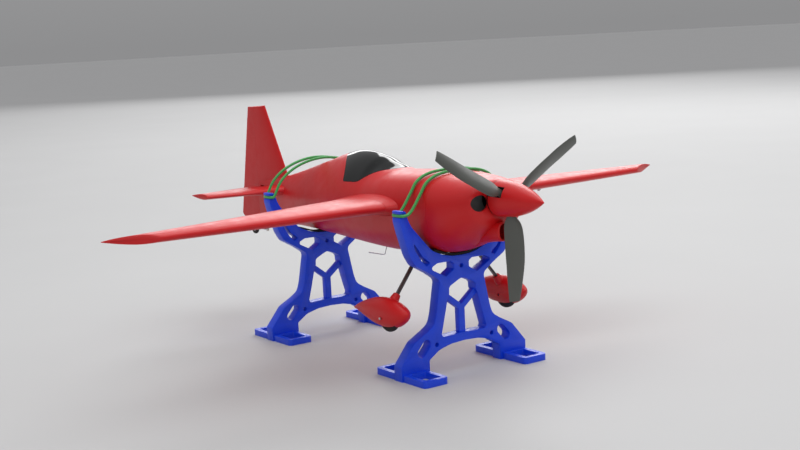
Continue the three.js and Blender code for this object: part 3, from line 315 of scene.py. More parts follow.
# ---- materials
class Look:
    """A material of one colour, with the few nodes the looks here need."""

    def __init__(self, name, colour):
        self.colour = colour
        self.material = bpy.data.materials.new(name)
        self.material.use_nodes = True
        self.nodes, self.links = self.material.node_tree.nodes, self.material.node_tree.links
        self.place = self.add("TexCoord", "Object")

    def feed(self, node, inputs):
        """Set each input to a value, or link it to the given output."""
        for key, value in inputs.items():
            if isinstance(value, bpy.types.NodeSocket):
                self.links.new(value, node.inputs[key])
            else:
                node.inputs[key].default_value = value

    def add(self, kind, output, inputs={}):
        made = self.nodes.new("ShaderNode" + kind)
        self.feed(made, inputs)
        return made.outputs[output]

    def stretched(self, **how):
        return self.add("Mapping", "Vector", {"Vector": self.place, **how})

    def noise(self, scale, detail=3.0, roughness=0.5, place=None):
        return self.add("TexNoise", "Fac", {
            "Scale": scale, "Detail": detail, "Roughness": roughness, "Vector": place or self.place})

    def shade(self, factor):
        return tuple(min(c * factor, 1) for c in self.colour) + (1,)

    def tones(self, factor, low, high, start=0.3, end=0.7):
        """From a darker to a lighter shade."""
        made = self.nodes.new("ShaderNodeValToRGB")
        dark, light = made.color_ramp.elements
        dark.position, light.position = start, end
        dark.color, light.color = self.shade(low), self.shade(high)
        self.feed(made, {"Fac": factor})
        return made.outputs["Color"]

    def span(self, factor, low, high):
        return self.add("MapRange", "Result", {
            "From Min": 0.3, "From Max": 0.7, "To Min": low, "To Max": high, "Value": factor})

    def bump(self, height, strength, distance, **before):
        return self.add("Bump", "Normal", {
            "Strength": strength, "Distance": distance, "Height": height, **before})

    def finish(self, colour, inputs):
        self.feed(self.nodes["Principled BSDF"], {"Base Color": colour, **inputs})
        return self.material


def painted(name, colour, roughness, coat=0.0, peel=0.08, vary=0.06, specular=0.5):
    """Moulded and painted plastic: faint mottling, orange peel and handling marks."""
    look = Look(name, colour)
    return look.finish(look.tones(look.noise(9, 4), 1 - vary, 1 + vary), {
        "Roughness": look.span(look.noise(60, 5, 0.65), roughness * 0.85, roughness * 1.2),
        "Normal": look.bump(look.noise(420, 2), peel, 0.0002),
        "Coat Weight": coat, "Coat Roughness": 0.06, "Specular IOR Level": specular})


def printed(name, colour, roughness):
    """Printed plastic: stacked layer lines and slight bands of colour."""
    look = Look(name, colour)
    bands = look.noise(30, 3, 0.6, look.stretched(Scale=(0.2, 0.2, 3)))
    layers = look.nodes.new("ShaderNodeTexWave")
    layers.bands_direction = "Z"
    look.feed(layers, {"Scale": 330, "Distortion": 0.4, "Vector": look.place})
    first = look.bump(layers.outputs["Fac"], 0.12, 0.00012)
    return look.finish(look.tones(bands, 0.93, 1.06), {
        "Roughness": look.span(look.noise(80, 4), roughness * 0.85, roughness * 1.2),
        "Normal": look.bump(look.noise(500, 2), 0.08, 0.0002, Normal=first)})


def metal(name, colour, roughness, stretch=(1, 1, 1)):
    look = Look(name, colour)
    grain = look.noise(260, 4, 0.6, look.stretched(Scale=stretch))
    return look.finish(look.tones(grain, 0.85, 1.08), {
        "Roughness": look.span(grain, roughness * 0.75, roughness * 1.3),
        "Normal": look.bump(grain, 0.08, 0.0001), "Metallic": 1.0})


def rubber(name, colour, grain=700, strength=0.35):
    look = Look(name, colour)
    broad = look.noise(50, 5, 0.6)
    return look.finish(look.tones(broad, 0.8, 1.25), {
        "Roughness": look.span(broad, 0.7, 0.92),
        "Normal": look.bump(look.noise(grain, 3, 0.7), strength, 0.0004), "Specular IOR Level": 0.3})


def braided(name, colour):
    """Elastic cord in a braided cover: slanting ribs, with painted shade darkening the grooves."""
    look = Look(name, colour)
    ribs = [look.add("TexWave", "Fac", {
        "Scale": 260, "Distortion": 0.6, "Vector": look.stretched(Rotation=(tilt, tilt, 0.4))})
        for tilt in (0.7, -0.7)]
    both = look.nodes.new("ShaderNodeMath")
    both.operation = "MAXIMUM"
    look.feed(both, {0: ribs[0], 1: ribs[1]})
    cover = both.outputs[0]
    # The colour ramp darkens the low parts of the rib pattern: painted shade in the grooves of the braid.
    return look.finish(look.tones(cover, 0.72, 1.1, 0.2, 0.9), {
        "Normal": look.bump(cover, 0.4, 0.0003),
        "Roughness": look.span(look.noise(300, 3), 0.5, 0.7), "Sheen Weight": 0.25})


def wood(name, colour):
    look = Look(name, colour)
    grain = look.noise(60, 6, 0.65, look.stretched(Scale=(0.15, 1.4, 1.4)))
    return look.finish(look.tones(grain, 0.7, 1.1), {
        "Roughness": look.span(grain, 0.6, 0.8), "Normal": look.bump(grain, 0.2, 0.0003)})


def carbon(name, colour):
    """Carbon laminate: a fine twill under clear resin."""
    look = Look(name, colour)
    twill = look.add("TexChecker", "Color", {
        "Scale": 600, "Color1": look.shade(0.7), "Color2": look.shade(1.5), "Vector": look.place})
    marks = look.noise(90, 4)
    return look.finish(twill, {"Roughness": look.span(marks, 0.3, 0.42),
                               "Normal": look.bump(marks, 0.05, 0.0002), "Coat Weight": 0.5})


LOOKS = {
    "red_gloss": (painted, (0.60, 0.006, 0.008), 0.38, 0, 0.02, 0.03, 0.4),
    "black_gloss": (painted, (0.004, 0.005, 0.005), 0.06, 0, 0.01, 0.1, 0.25),
    "stand_blue": (printed, (0.003, 0.055, 0.74), 0.36),
    "strap_green": (braided, (0.045, 0.36, 0.075)),
    "propeller_grey": (painted, (0.085, 0.09, 0.08), 0.34, 0, 0.12, 0.08),
    "tyre_rubber": (rubber, (0.030, 0.027, 0.024)),
    "pad_foam": (rubber, (0.012, 0.012, 0.012), 900, 0.8),
    "carbon": (carbon, (0.022, 0.013, 0.011)),
    "steel": (metal, (0.62, 0.62, 0.63), 0.28, (0.2, 1, 1)),
    "alloy": (metal, (0.76, 0.77, 0.79), 0.34),
    "motor_black": (metal, (0.05, 0.052, 0.057), 0.4),
    "nylon": (painted, (0.72, 0.71, 0.66), 0.5, 0, 0.1, 0.04),
    "plywood": (wood, (0.56, 0.37, 0.17)),
    "servo_blue": (painted, (0.02, 0.06, 0.22), 0.3, 0.2),
    "battery_wrap": (painted, (0.02, 0.06, 0.32), 0.25, 0.5),
    "black_plastic": (painted, (0.012, 0.012, 0.013), 0.45, 0, 0.2),
    "duct_grey": (rubber, (0.10, 0.11, 0.11)),
}
MATERIALS = {name: make(name, *values) for name, (make, *values) in LOOKS.items()}


def dress(target, look):
    target.data.materials.clear()
    target.data.materials.append(MATERIALS[look])


def piece(target, body, material_slot, *nodes):
    smooth(target)
    dress(target, material_slot)
    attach(target, body)
    if nodes:
        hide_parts(*nodes)
    return target


def both_pieces(made, body, material_slot, node):
    """A left piece and its mirror image; {} in the body's name is the side."""
    right = mirrored(made, made.name.replace("left", "right"))
    for one, side in ((made, "left"), (right, "right")):
        piece(one, body.format(side), material_slot, f"{node}_{side}")


# ---- body surface
def body_at(x):
    """Top, bottom, half width, waist height and squareness of the body at x."""
    t, values = BODY_STATIONS[:, 0], BODY_STATIONS[:, 1:]
    i1 = int(np.clip(np.searchsorted(t, x, side="right"), 1, len(t) - 1))
    i0 = i1 - 1
    prev, t_prev = (i1, t[i1]) if i0 == 0 else (i0 - 1, t[i0 - 1])
    after, t_after = (i0, t[i0]) if i1 == len(t) - 1 else (i1 + 1, t[i1 + 1])
    half = (t[i1] - t[i0]) / 2
    wp, wn = half / (t[i0] - t_prev), half / (t_after - t[i1])
    p = (x - t[i0]) / (t[i1] - t[i0])
    sp = -wp * p ** 3 + 2 * wp * p * p - wp * p
    s0 = (1 + wp) * p ** 3 + (-1.5 - 2 * wp) * p * p + (-0.5 + wp) * p + 1
    s1 = (-1 - wn) * p ** 3 + (1.5 + wn) * p * p + 0.5 * p
    sn = wn * p ** 3 - wn * p * p
    return sp * values[prev] + s0 * values[i0] + s1 * values[i1] + sn * values[after]


def rounded(x, top, bottom, half_width, waist, upper, lower, count, middle=0.0):
    c, s = np.cos(turns(count)), np.sin(turns(count))
    power = 2 / np.where(s >= 0, upper, lower)
    height = np.where(s >= 0, top - waist, waist - bottom)
    y = middle + half_width * np.sign(c) * np.abs(c) ** power
    z = waist + height * np.sign(s) * np.abs(s) ** power
    return np.stack([np.full(count, float(x)), y, z], 1)


def body_section(x, inset, count=120):
    top, bottom, half_width, waist, upper, lower = body_at(x)
    return rounded(x, top - inset, bottom + inset, half_width - inset, waist, upper, lower, count)


def body_loft(name, stations, inset, count=120):
    return loft(name, [body_section(x, inset, count) for x in stations])


def stations(*stops, pitch=4.0):
    """Even steps between stops, none longer than the pitch."""
    out = [float(stops[0])]
    for a, b in zip(stops, stops[1:]):
        n = max(1, int(math.ceil((b - a) / pitch)))
        out += [a + (b - a) * (k + 1) / n for k in range(n)]
    return out


def natural(rows, x):
    """Smooth values through rows keyed by their first column (Catmull-Rom)."""
    t = rows[:, 0]
    i = int(np.clip(np.searchsorted(t, x) - 1, 0, len(t) - 2))
    h = t[i + 1] - t[i]
    slope = lambda k: (rows[min(k + 1, len(t) - 1), 1:] - rows[max(k - 1, 0), 1:]) / (
        t[min(k + 1, len(t) - 1)] - t[max(k - 1, 0)])
    p = (x - t[i]) / h
    return ((2 * p ** 3 - 3 * p ** 2 + 1) * rows[i, 1:] + (p ** 3 - 2 * p ** 2 + p) * h * slope(i)
            + (-2 * p ** 3 + 3 * p ** 2) * rows[i + 1, 1:] + (p ** 3 - p ** 2) * h * slope(i + 1))


# ---- flying surfaces
def aerofoil(u):
    return 5 * (0.2969 * np.sqrt(u) - 0.126 * u - 0.3516 * u ** 2 + 0.2843 * u ** 3 - 0.1036 * u ** 4)


TRAILING_EDGE = 0.6
FRACTIONS = (1 - np.cos(np.linspace(0, math.pi, 33))) / 2
# Shares of the chord round a section, upper trailing edge to lower, and their sides.
ROUND = np.concatenate([FRACTIONS[::-1], FRACTIONS[1:]])
ROUND_SIDE = np.where(np.arange(len(ROUND)) < len(FRACTIONS), 1.0, -1.0)


def half_height(u, thickness):
    return aerofoil(u) * thickness + TRAILING_EDGE * u


def rounded_span(count, lip, steps):
    """Rows of (share of span, run beyond it, share of thickness), ending in a rounded lip."""
    rows = [(s, 0.0, 1.0) for s in np.linspace(0, 1, count)]
    return rows + [(1.0, lip * math.sin(a), max(math.cos(a), 0.02)) for a in
                   np.linspace(0, math.pi / 2, steps)[1:]]


def root_reach(y):
    """How far the leading edge runs forward into its root fillet."""
    f = ROOT_FILLET
    return f["reach"] * np.clip(1 - (y - f["start"]) / f["length"], 0, 1) ** 2


def wing_z(y):
    return WING["z"] + np.maximum(y - WING["root"], 0) * WING["dihedral"]


def wing_trailing(y):
    return WING["trailing"] + (y - WING["trail_y"]) * WING["sweep"]


def wing_thickness(y):
    t = (y - WING["root"]) / (WING["corner"] - WING["root"])
    return lerp(WING["thickness"], WING["tip_thickness"], t)


def wing_solid(name):
    """The left panel: its ribs swing round to the oblique, rounded tip."""
    rings = []
    lip = 2.0
    end = lerp(WING["corner"], WING["tip"], ROUND ** TIP_BOW) - lip
    for s, out, thin in rounded_span(60, lip, 8):
        y = lerp(WING["root"], end, s)
        x = lerp(WING["leading"] + root_reach(y), wing_trailing(y), ROUND)
        h = half_height(ROUND, wing_thickness(y)) * thin
        rings.append(np.stack([x, y + out, wing_z(y) + ROUND_SIDE * h], 1))
    return loft(name, rings)


def aileron_hinge(y):
    chord = lerp(AILERON["inner_chord"], AILERON["outer_chord"],
                 (y - AILERON["inner"]) / (AILERON["outer"] - AILERON["inner"]))
    x = wing_trailing(y) + chord
    u = (WING["leading"] - x) / (WING["leading"] - wing_trailing(y))
    return np.array([x, y, wing_z(y) + half_height(u, wing_thickness(y))])


def behind_hinge(name, start, end, reach, lean, behind):
    """Everything behind a hinge line in the upper skin; its front face leans back."""
    depth, above = 40, 5
    back = depth * math.tan(math.radians(lean))
    corners = [(behind, above), (behind, 0), (behind + back, -depth), (reach, -depth), (reach, above)]
    return loft(name, [[(x - run, y, z + rise) for run, rise in corners] for x, y, z in (start, end)])


SURFACE_LEAN = 26
WING_SERVO = dict(x=111, y=212, length=22, width=12, top=214.6)
WING_ARM = dict(x=104, y=221.5, z=208, length=8)
LEVER = 1.6
ROD_RADIUS = 0.9
ROD_OFFSET = LEVER / 2 + ROD_RADIUS + 0.4
SWEPT_HORN_OFFSET = ROD_OFFSET + 1.3
EYE_RADIUS = 0.6


def control_horn(outline, axis, level, eye):
    """A lever plate with an eye for its clevis pin."""
    horn = prism("horn", fillet(outline, 1.0), axis, level - LEVER / 2, level + LEVER / 2)
    pin = np.zeros((2, 3))
    pin[:, PLANES[axis][:2]] = eye
    pin[:, PLANES[axis][2]] = level - 5, level + 5
    return cut(horn, rod("eye", *pin, EYE_RADIUS, 12))


def spar_bore(start, end):
    return rod("spar_bore", (SPAR["x"], start, WING["z"]), (SPAR["x"], end, WING["z"]), SPAR["radius"])


def make_wings():
    hinge = [aileron_hinge(y) for y in (AILERON["inner"], AILERON["outer"])]
    panel = wing_solid("wing_panel_left")
    flap = copy(panel, "aileron_panel_left")
    s, a = WING_SERVO, WING_ARM
    x, y, length, width = s["x"], s["y"], s["length"] / 2 + GAP, s["width"] / 2 + GAP
    cut(panel, behind_hinge("bay", *hinge, 60, 0, 0),
        block("well", (x - length, y - width, 180), (x + length, y + width, s["top"] + GAP)),
        block("slot", (a["x"] - 9, s["y"], 178), (a["x"] + 9, a["y"] + 2.2, a["z"] + 4.4)),
        spar_bore(40, 150))
    clip(flap, behind_hinge("slab", *hinge, 60, SURFACE_LEAN, GAP))
    cut(flap, block("inner_end", (0, 0, 150), (200, AILERON["inner"] + 1, 260)),
        block("outer_end", (0, AILERON["outer"] - 1, 150), (200, WING["tip"] + 10, 260)))
    horn_y = a["y"] + ROD_OFFSET + SWEPT_HORN_OFFSET
    horn_x = aileron_hinge(horn_y)[0]
    rod_z = a["z"] - a["length"]
    join(flap, control_horn([(horn_x - 16, WING["z"] - 0.5), (horn_x - 7, WING["z"] - 1),
                             (horn_x + 1.6, rod_z - 1.5), (horn_x - 2.4, rod_z - 1.5)],
                            "y", horn_y, (horn_x - 0.4, rod_z)))
    both_pieces(panel, "airframe", "red_gloss", "wing")
    both_pieces(flap, "aileron_{}", "red_gloss", "aileron")


def fillet(points, radius, steps=6):
    """An outline with rounded corners, as far as its sides allow; one radius, or one per corner."""
    p = [np.asarray(q, float) for q in points]
    out = []
    for i, b in enumerate(p):
        a, c = p[i - 1], p[(i + 1) % len(p)]
        r = radius[i] if isinstance(radius, (list, tuple)) else radius
        u, v = a - b, c - b
        shortest = min(np.linalg.norm(u), np.linalg.norm(v))
        u, v = unit(u), unit(v)
        half = math.acos(float(np.clip(u.dot(v), -1, 1))) / 2
        if r <= 0 or half > math.radians(88.5):
            out.append(b)
            continue
        run = min(r / math.tan(half), 0.48 * shortest)
        r = run * math.tan(half)
        middle = b + unit(u + v) * (r / math.sin(half))
        s, e = b + u * run - middle, b + v * run - middle
        sweep = math.atan2(s[0] * e[1] - s[1] * e[0], s.dot(e))
        for k in range(steps + 1):
            c, d = math.cos(sweep * k / steps), math.sin(sweep * k / steps)
            out.append(middle + (s[0] * c - s[1] * d, s[0] * d + s[1] * c))
    return out


# ---- tail
def stab_solid(name, grow=0.0, forward=0.0):
    """The left half of tailplane and elevator, out to the oblique tip."""
    lip = 1.6
    rings = []
    for s, out, thin in rounded_span(40, lip, 7):
        y = s * (lerp(STAB["corner"], STAB["half_span"], ROUND) - lip)
        x = stab_x(y, ROUND, forward)
        h = (half_height(ROUND, STAB["thickness"]) + grow) * thin
        rings.append(np.stack([x, y + out, STAB["z"] + ROUND_SIDE * h], 1))
    return loft(name, rings)


def stab_x(y, u, forward):
    t = y / STAB["corner"]
    leading, trailing = (lerp(root, tip, t) for root, tip in zip(STAB_ROOT, STAB_TIP))
    return lerp(leading + forward, trailing, u)


def elevator_slab(name, lean, behind):
    u = (STAB_ROOT[0] - ELEVATOR_HINGE_X) / (STAB_ROOT[0] - STAB_ROOT[1])
    top = STAB["z"] + half_height(u, STAB["thickness"]) - 0.1
    return behind_hinge(name, (ELEVATOR_HINGE_X, -150, top), (ELEVATOR_HINGE_X, 150, top), 60, lean, behind)


def whole_stab(name, grow=0.0, forward=0.0):
    left = stab_solid(name, grow, forward)
    return join(left, mirrored(left, name + "_mirror"))


STAB_GROW = [(6, 8), (20, 7), (34, 4.5), (50, 1.8), (64, 0)]
STAB_REACH = [(6, 19), (20, 14), (34, 8), (50, 3), (64, 0)]


def stab_fairing(name):
    """The tailplane nose's swelling into the body, gone by the elevator's hinge."""
    rings = []
    fade = np.clip(1 - ROUND / 0.6, 0, 1)
    for y in stations(STAB_GROW[0][0], STAB_GROW[-1][0], pitch=1.6):
        swell = table_at(STAB_GROW, y) * fade
        x = stab_x(y, ROUND, table_at(STAB_REACH, y))
        h = half_height(ROUND, STAB["thickness"] + 1.5 * swell)
        rings.append(np.stack([x, np.full_like(x, y), STAB["z"] + 0.35 * swell + ROUND_SIDE * h], 1))
    return loft(name, rings)


def make_tailplane():
    fixed = whole_stab("tailplane_skin")
    left = stab_fairing("stab_fairing")
    join(fixed, left, mirrored(left, "stab_fairing_right"))
    cut(fixed, elevator_slab("slab", 0, 0))
    piece(fixed, "airframe", "red_gloss", "stabiliser")
    flap = stab_solid("elevator_skin_left")
    clip(flap, elevator_slab("slab", SURFACE_LEAN, GAP))
    x = ELEVATOR_HINGE_X
    cut(flap, prism("notch", [(x + 5, 8.5), (x - 50, 15.5), (x - 50, -150), (x + 5, -150)], "z", 150, 250),
        rod("bore", (x - 8, -30, STAB["z"] - 0.6), (x - 8, 30, STAB["z"] - 0.6), 1.85))
    right = mirrored(flap, "elevator_skin_right")
    join(flap, control_horn([(x - 20, STAB["z"] - 0.5), (x - 12.5, STAB["z"] - 1.5), (x + 1.8, 188.5),
                             (x - 2.2, 188.5)], "y", 20, (x, 190)))
    piece(flap, "elevator", "red_gloss", "elevator_left")
    piece(right, "elevator", "red_gloss", "elevator_right")


def fin_leading(z):
    return FIN_LEADING["x"] + (z - FIN_LEADING["z"]) * FIN_LEADING["sweep"]


def fin_trailing(z):
    return FIN_TRAILING["x"] + (z - FIN_TRAILING["z"]) * FIN_TRAILING["sweep"]


def fin_half(u, z):
    t = (z - RUDDER_BOTTOM) / (FIN["top"] - RUDDER_BOTTOM)
    return half_height(u, lerp(FIN["thickness"], FIN["top_thickness"], t))


def fin_solid(name):
    """Fin and rudder in one; the rounded cap falls slightly towards the back."""
    lip, fall = 1.5, 3.0
    crown = FIN["top"] - 0.4 - ROUND * fall - lip
    rings = []
    for s, out, thin in rounded_span(46, lip, 7):
        z = lerp(RUDDER_BOTTOM, crown, s)
        x = lerp(fin_leading(z), fin_trailing(z), ROUND)
        rings.append(np.stack([x, ROUND_SIDE * fin_half(ROUND, z) * thin, z + out], 1))
    return loft(name, rings)


def rudder_slab(name, lean, behind):
    """Everything behind the rudder's hinge line in the fin's right skin."""
    depth, reach, x = 30, 90, TAIL_POST_X
    back = depth * math.tan(math.radians(lean))
    corners = [(behind, -10), (reach, -10), (reach, depth), (behind + back, depth), (behind, 0)]
    rings = []
    for z in (RUDDER_BOTTOM - 2, FIN["top"] + 2):
        y = -fin_half((fin_leading(z) - x) / (fin_leading(z) - fin_trailing(z)), z)
        rings.append([(x - run, y + out, z) for run, out in corners])
    return loft(name, rings)


def make_rudder():
    body = fin_solid("rudder_skin")
    clip(body, rudder_slab("slab", 30, GAP))
    back, bottom, radius = fin_trailing(RUDDER_BOTTOM) - 1, RUDDER_BOTTOM - 1, 13
    arc = [(back + radius + radius * math.cos(a), bottom + 1 + radius + radius * math.sin(a))
           for a in np.linspace(-math.pi / 2, -math.pi, 14)]
    corner = [(back - 5, bottom - 5), (back + radius, bottom - 5)] + arc + [(back - 5, bottom + 1 + radius)]
    post = TAIL_WHEEL["x"] + 12
    cut(body, prism("corner", corner, "y", -30, 30), rod("bore", (post, 0, 140), (post, 0, 166), 1.45))
    x = TAIL_POST_X
    join(body, control_horn([(x - 16, 0), (x - 7, 0), (x + 1.8, 18.5), (x - 2.2, 18.5)], "z", 170, (x, 17)))
    piece(body, "rudder", "red_gloss", "rudder")


AXLE = (0, 1, 0)


def mirror_row(points, middle):
    """Points on the right side, the middle one, and their mirror images."""
    return points + [middle] + [(x, -y, z) for x, y, z in points[::-1]]


def mirror_profile(half):
    """A lathe profile completed by its mirror image along the axis."""
    return half + [(-s, r) for s, r in half[::-1]]


def make_tail_wheel():
    t = TAIL_WHEEL
    post, crown, leg = t["x"] + 12, t["z"] + t["radius"] + 3, t["width"] / 2 + 1.6
    x, z = t["x"], t["z"]
    stem = spline([(post, 0, 163), (post, 0, 152), (post, 0, crown + 3), (post - 0.8, 0, crown + 1),
                   (post - 3, 0, crown)], 6)
    fork = mirror_row([(x, -leg - 1.2, z), (x, -leg + 0.2, z), (x + 0.3, -leg, z + 1.6),
                       (post - 5, -leg, crown - 2), (post - 4.2, -leg + 1, crown)], (post - 4, 0, crown))
    piece(tube("tail_wheel_wire", spline(fork, 8), 1.0), "rudder", "steel", "tail_wheel_fork")
    piece(tube("tail_stem_wire", stem, 1.05), "rudder", "steel")
    piece(rod("tail_axle_pin", (x, -leg - 1, z), (x, leg + 1, z), 0.95), "rudder", "steel")
    half, r = t["width"] / 2, t["radius"]
    tread = [(half * math.sin(a) * 0.98, r - 2.4 * (1 - math.cos(a)) ** 1.1) for a in
             np.linspace(-math.pi / 2, math.pi / 2, 15)]
    tyre = lathe("tail_tyre", [(-half * 0.85, 4.6)] + tread + [(half * 0.85, 4.6)], (x, 0, z), AXLE, 56)
    disc = [(-half - 0.3, 1.15), (-half - 0.3, 2.2), (-half * 0.5, 2.6), (-half * 0.6, 4.5)]
    hub = lathe("tail_hub", mirror_profile(disc), (x, 0, z), AXLE, 48)
    piece(tyre, "tail_wheel", "tyre_rubber", "tail_wheel")
    piece(hub, "tail_wheel", "alloy")


# ---- fuselage, canopy and cowl
CANOPY_REAR = [(-52, 271.5), (-35, 266.6), (-21.4, 262.2), (-8.7, 254.1), (-0.6, 244.3), (2.5, 236.7)]
CANOPY_FRONT = [(7, 234.1), (39.4, 236), (46, 238.6), (53, 243), (59, 246.2), (66.6, 249.3), (72.5, 251.1),
                (76, 251.6), (86, 252.6)]


CANOPY_HEEL = [(2.5, 236.7), (3.4, 234), (7, 234.1)]


def canopy_cutter(name, grow):
    rear = [(x - grow, z - grow) for x, z in spline(CANOPY_REAR, 8)]
    heel = []
    for t in np.linspace(0, 1, 9)[1:]:
        weights = (1 - t) ** 2, 2 * t * (1 - t), t * t
        x, z = np.dot(weights, CANOPY_HEEL)
        heel.append((x - grow * (1 - t), z - grow))
    front = [(x + grow, z - grow) for x, z in spline(CANOPY_FRONT, 8)[1:]]
    outline = [(-53 - grow, 300)] + rear + heel + front + [(86 + grow, 300)]
    return prism(name, outline, "y", -80, 80)


FAIRING_GROW = [(36, 9), (56, 5), (64, 2), (70, 0.6), (73.65, 0)]


def wing_fairing(name):
    rings = []
    for y in stations(36, 56, WING["root"] - GAP, pitch=1.6):
        grow = table_at(FAIRING_GROW, y)
        x = lerp(WING["leading"] + grow + root_reach(y), wing_trailing(y) - grow, ROUND)
        h = half_height(ROUND, WING["thickness"] + 1.6 * grow)
        rings.append(np.stack([x, np.full_like(x, y), WING["z"] + ROUND_SIDE * h], 1))
    return loft(name, rings)


LEG = dict(foot=(172.7, 87.6, 76.5), knee=(172.7, 87.6, 96), top=(171, 33, 164.2), width=7, thickness=2.8)


def gear_leg(name, grow=0.0):
    """A flat strip with full edges, bent at the knee."""
    foot, knee, top = (np.asarray(LEG[k], float) for k in ("foot", "knee", "top"))
    down, up = unit(knee - foot), unit(top - knee)
    bend = [knee - down * 6, knee - down * 2 + 0.15 * up, knee + up * 2.5, knee + up * 8]
    path = [foot] + spline(bend, 5) + [top]
    across = np.array([1.0, 0, 0])
    full = lambda v: (np.sign(v) * np.abs(v) ** (2 / 3.6))[:, None]
    c, s = full(np.cos(turns(28))), full(np.sin(turns(28)))
    rings = []
    for i, p in enumerate(path):
        ahead = path[min(i + 1, len(path) - 1)] - path[max(i - 1, 0)]
        normal = unit(np.cross(ahead, across))
        rings.append(p + across * c * (LEG["width"] / 2 + grow) + normal * s * (LEG["thickness"] / 2 + grow))
    return loft(name, rings)


ANTENNA = [(41.2, 0, 148.6), (32.3, 0, 129), (-7.1, 0, 128)]


def make_fuselage():
    outer = body_loft("fuselage_shell", stations(TAIL_POST_X + 1, -60, 100, COWL_JOINT_X - GAP, pitch=4), 0)
    left = wing_fairing("fairing")
    right = mirrored(left, "fairing_right")
    fin = cut(fin_solid("fin"), rudder_slab("slab", 0, 0), block("under", (-230, -20, 100), (-100, 20, 200)))
    join(outer, left, right, fin)
    inner = body_loft("inside", stations(-272, -60, 100, 225, pitch=8), SKIN, 96)
    leg = gear_leg("leg_slot", 0.5)
    x = ELEVATOR_HINGE_X
    tail = whole_stab("stab_slot", 0.4, 0.5)
    cut(tail, elevator_slab("slab", 0, 0))
    cut(outer, rudder_slab("post", 0, 0), copy(inner, "inner_again"), canopy_cutter("opening", GAP), tail,
        block("joiner_room", (x - 11.4, -20, 195.8), (x + 1, 20, 205.3)),
        spar_bore(-100, 100),
        mirrored(leg, "leg_slot_right"), leg,
        rod("aerial_hole", ANTENNA[1], ANTENNA[0], 1.3, sides=16),
        block("elevator_slot", (-290.5, 15.3, 188.2), (-100, 20.1, 191.8)),
        block("rudder_slot", (-311.5, 14.4, 170.3), (-100, 19.2, 173.9)))
    piece(outer, "airframe", "red_gloss", "fuselage")
    shell = body_loft("canopy_shell", stations(-70, 100, pitch=2.5), 0, 160)
    cut(shell, inner)
    clip(shell, canopy_cutter("outline", 0))
    piece(shell, "canopy", "black_gloss", "canopy")


CHEEK = (31, 223.3, 12, 10)  # y, z, half width, half height
CHIN = np.array([
    [236, 197, 161.5, 6], [250, 197, 166.8, 8.5], [264, 197, 169.8, 9.6], [278, 197.4, 172.2, 10],
    [292, 197.6, 173.8, 9.6],
])


def chin_solid(name, inset, start, end, lip=0.0):
    def ring(x, place, shrink):
        top, bottom, half = natural(CHIN, x)
        return rounded(place, top - shrink, bottom + shrink, half - shrink, (top + bottom) / 2, 2.6, 2.6, 64)

    xs = stations(CHIN[0, 0], CHIN[-1, 0], pitch=2.5)
    rings = [ring(x, x, inset) for x in xs]
    rings[0][:, 0] = start
    rings[-1][:, 0] = end
    for a in np.linspace(0, math.pi / 2, 6)[1:] if lip else []:
        rings.append(ring(xs[-1], end + lip * math.sin(a), inset + lip * (1 - math.cos(a))))
    return loft(name, rings)


def make_cowl():
    rings = [body_section(x, 0) for x in stations(COWL_JOINT_X, 278, pitch=2.5)]
    for a in np.linspace(0, math.pi / 2, 12)[1:]:
        rings.append(body_section(278 + 8 * math.sin(a), 7 * (1 - math.cos(a))))
    outer = loft("cowl_shell", rings)
    join(outer, chin_solid("chin", 0, 236, 290.8, 1.2))
    inner = body_loft("inside", stations(COWL_JOINT_X - 5, 270, 283, pitch=4), SKIN + 0.4, 96)
    shaft = lambda radius: rod("shaft", (260, 0, PROP["z"]), (300, 0, PROP["z"]), radius, 64)
    lens = ellipse(*CHEEK, count=48)
    cut(outer, inner, chin_solid("mouth", 2.0, 234, 300), shaft(16),
        prism("cheek", lens, "x", 266, 300), prism("cheek", [(-y, z) for y, z in lens], "x", 266, 300))
    piece(outer, "airframe", "red_gloss", "cowl")
    baffle = body_loft("inlet_baffle", [270, 271.6], SKIN + 0.8, 96)
    cut(baffle, shaft(17), block("mouth", (260, -11, 150), (300, 11, 200)))
    piece(baffle, "airframe", "black_plastic")
    dress(baffle, "duct_grey")


def make_antenna():
    a, b, c = (np.asarray(p, float) for p in ANTENNA)
    toward, away = unit(a - b), unit(c - b)
    bend = [b + toward * 4, b + toward * 1.4 + away * 0.4, b + away * 1.4 + toward * 0.4, b + away * 4]
    piece(tube("aerial_wire", [a] + spline(bend, 6) + [c], 0.65), "airframe", "steel", "antenna")


# ---- landing gear
PANT = np.array([
    [95.5, 81.6, 79.6, 1], [110, 88.5, 77, 5.6], [130, 95.8, 71.2, 9.9], [150, 101, 66.4, 12.4],
    [171, 102.9, 64, 13.3], [190, 100.6, 66.6, 12.8], [204, 96, 73.2, 10.2], [211.5, 92, 79.6, 6.4],
    [215.4, 88.6, 85.4, 1.4],
])


def pant_solid(name, inset, start, end):
    rings = []
    for x in stations(start, end, pitch=2.0):
        top, bottom, half = natural(PANT, x)
        rings.append(rounded(x, top - inset, bottom + inset, max(half - inset, 0.3), (top + bottom) / 2,
                             2.1, 2.1, 56, WHEEL["y"]))
    return loft(name, rings)


COLLAR = [(0, 6.8), (3.5, 6.5), (7, 5.7), (9.6, 5.0), (11.3, 4.7), (11.6, 4.2)]
HUB_HALF = [(-4.4, 1.7), (-4.4, 3.8), (-4, 4.2), (-2, 4.9), (-1.6, 5.4), (-1.6, 10), (-3.6, 11.4), (-4, 12.1)]


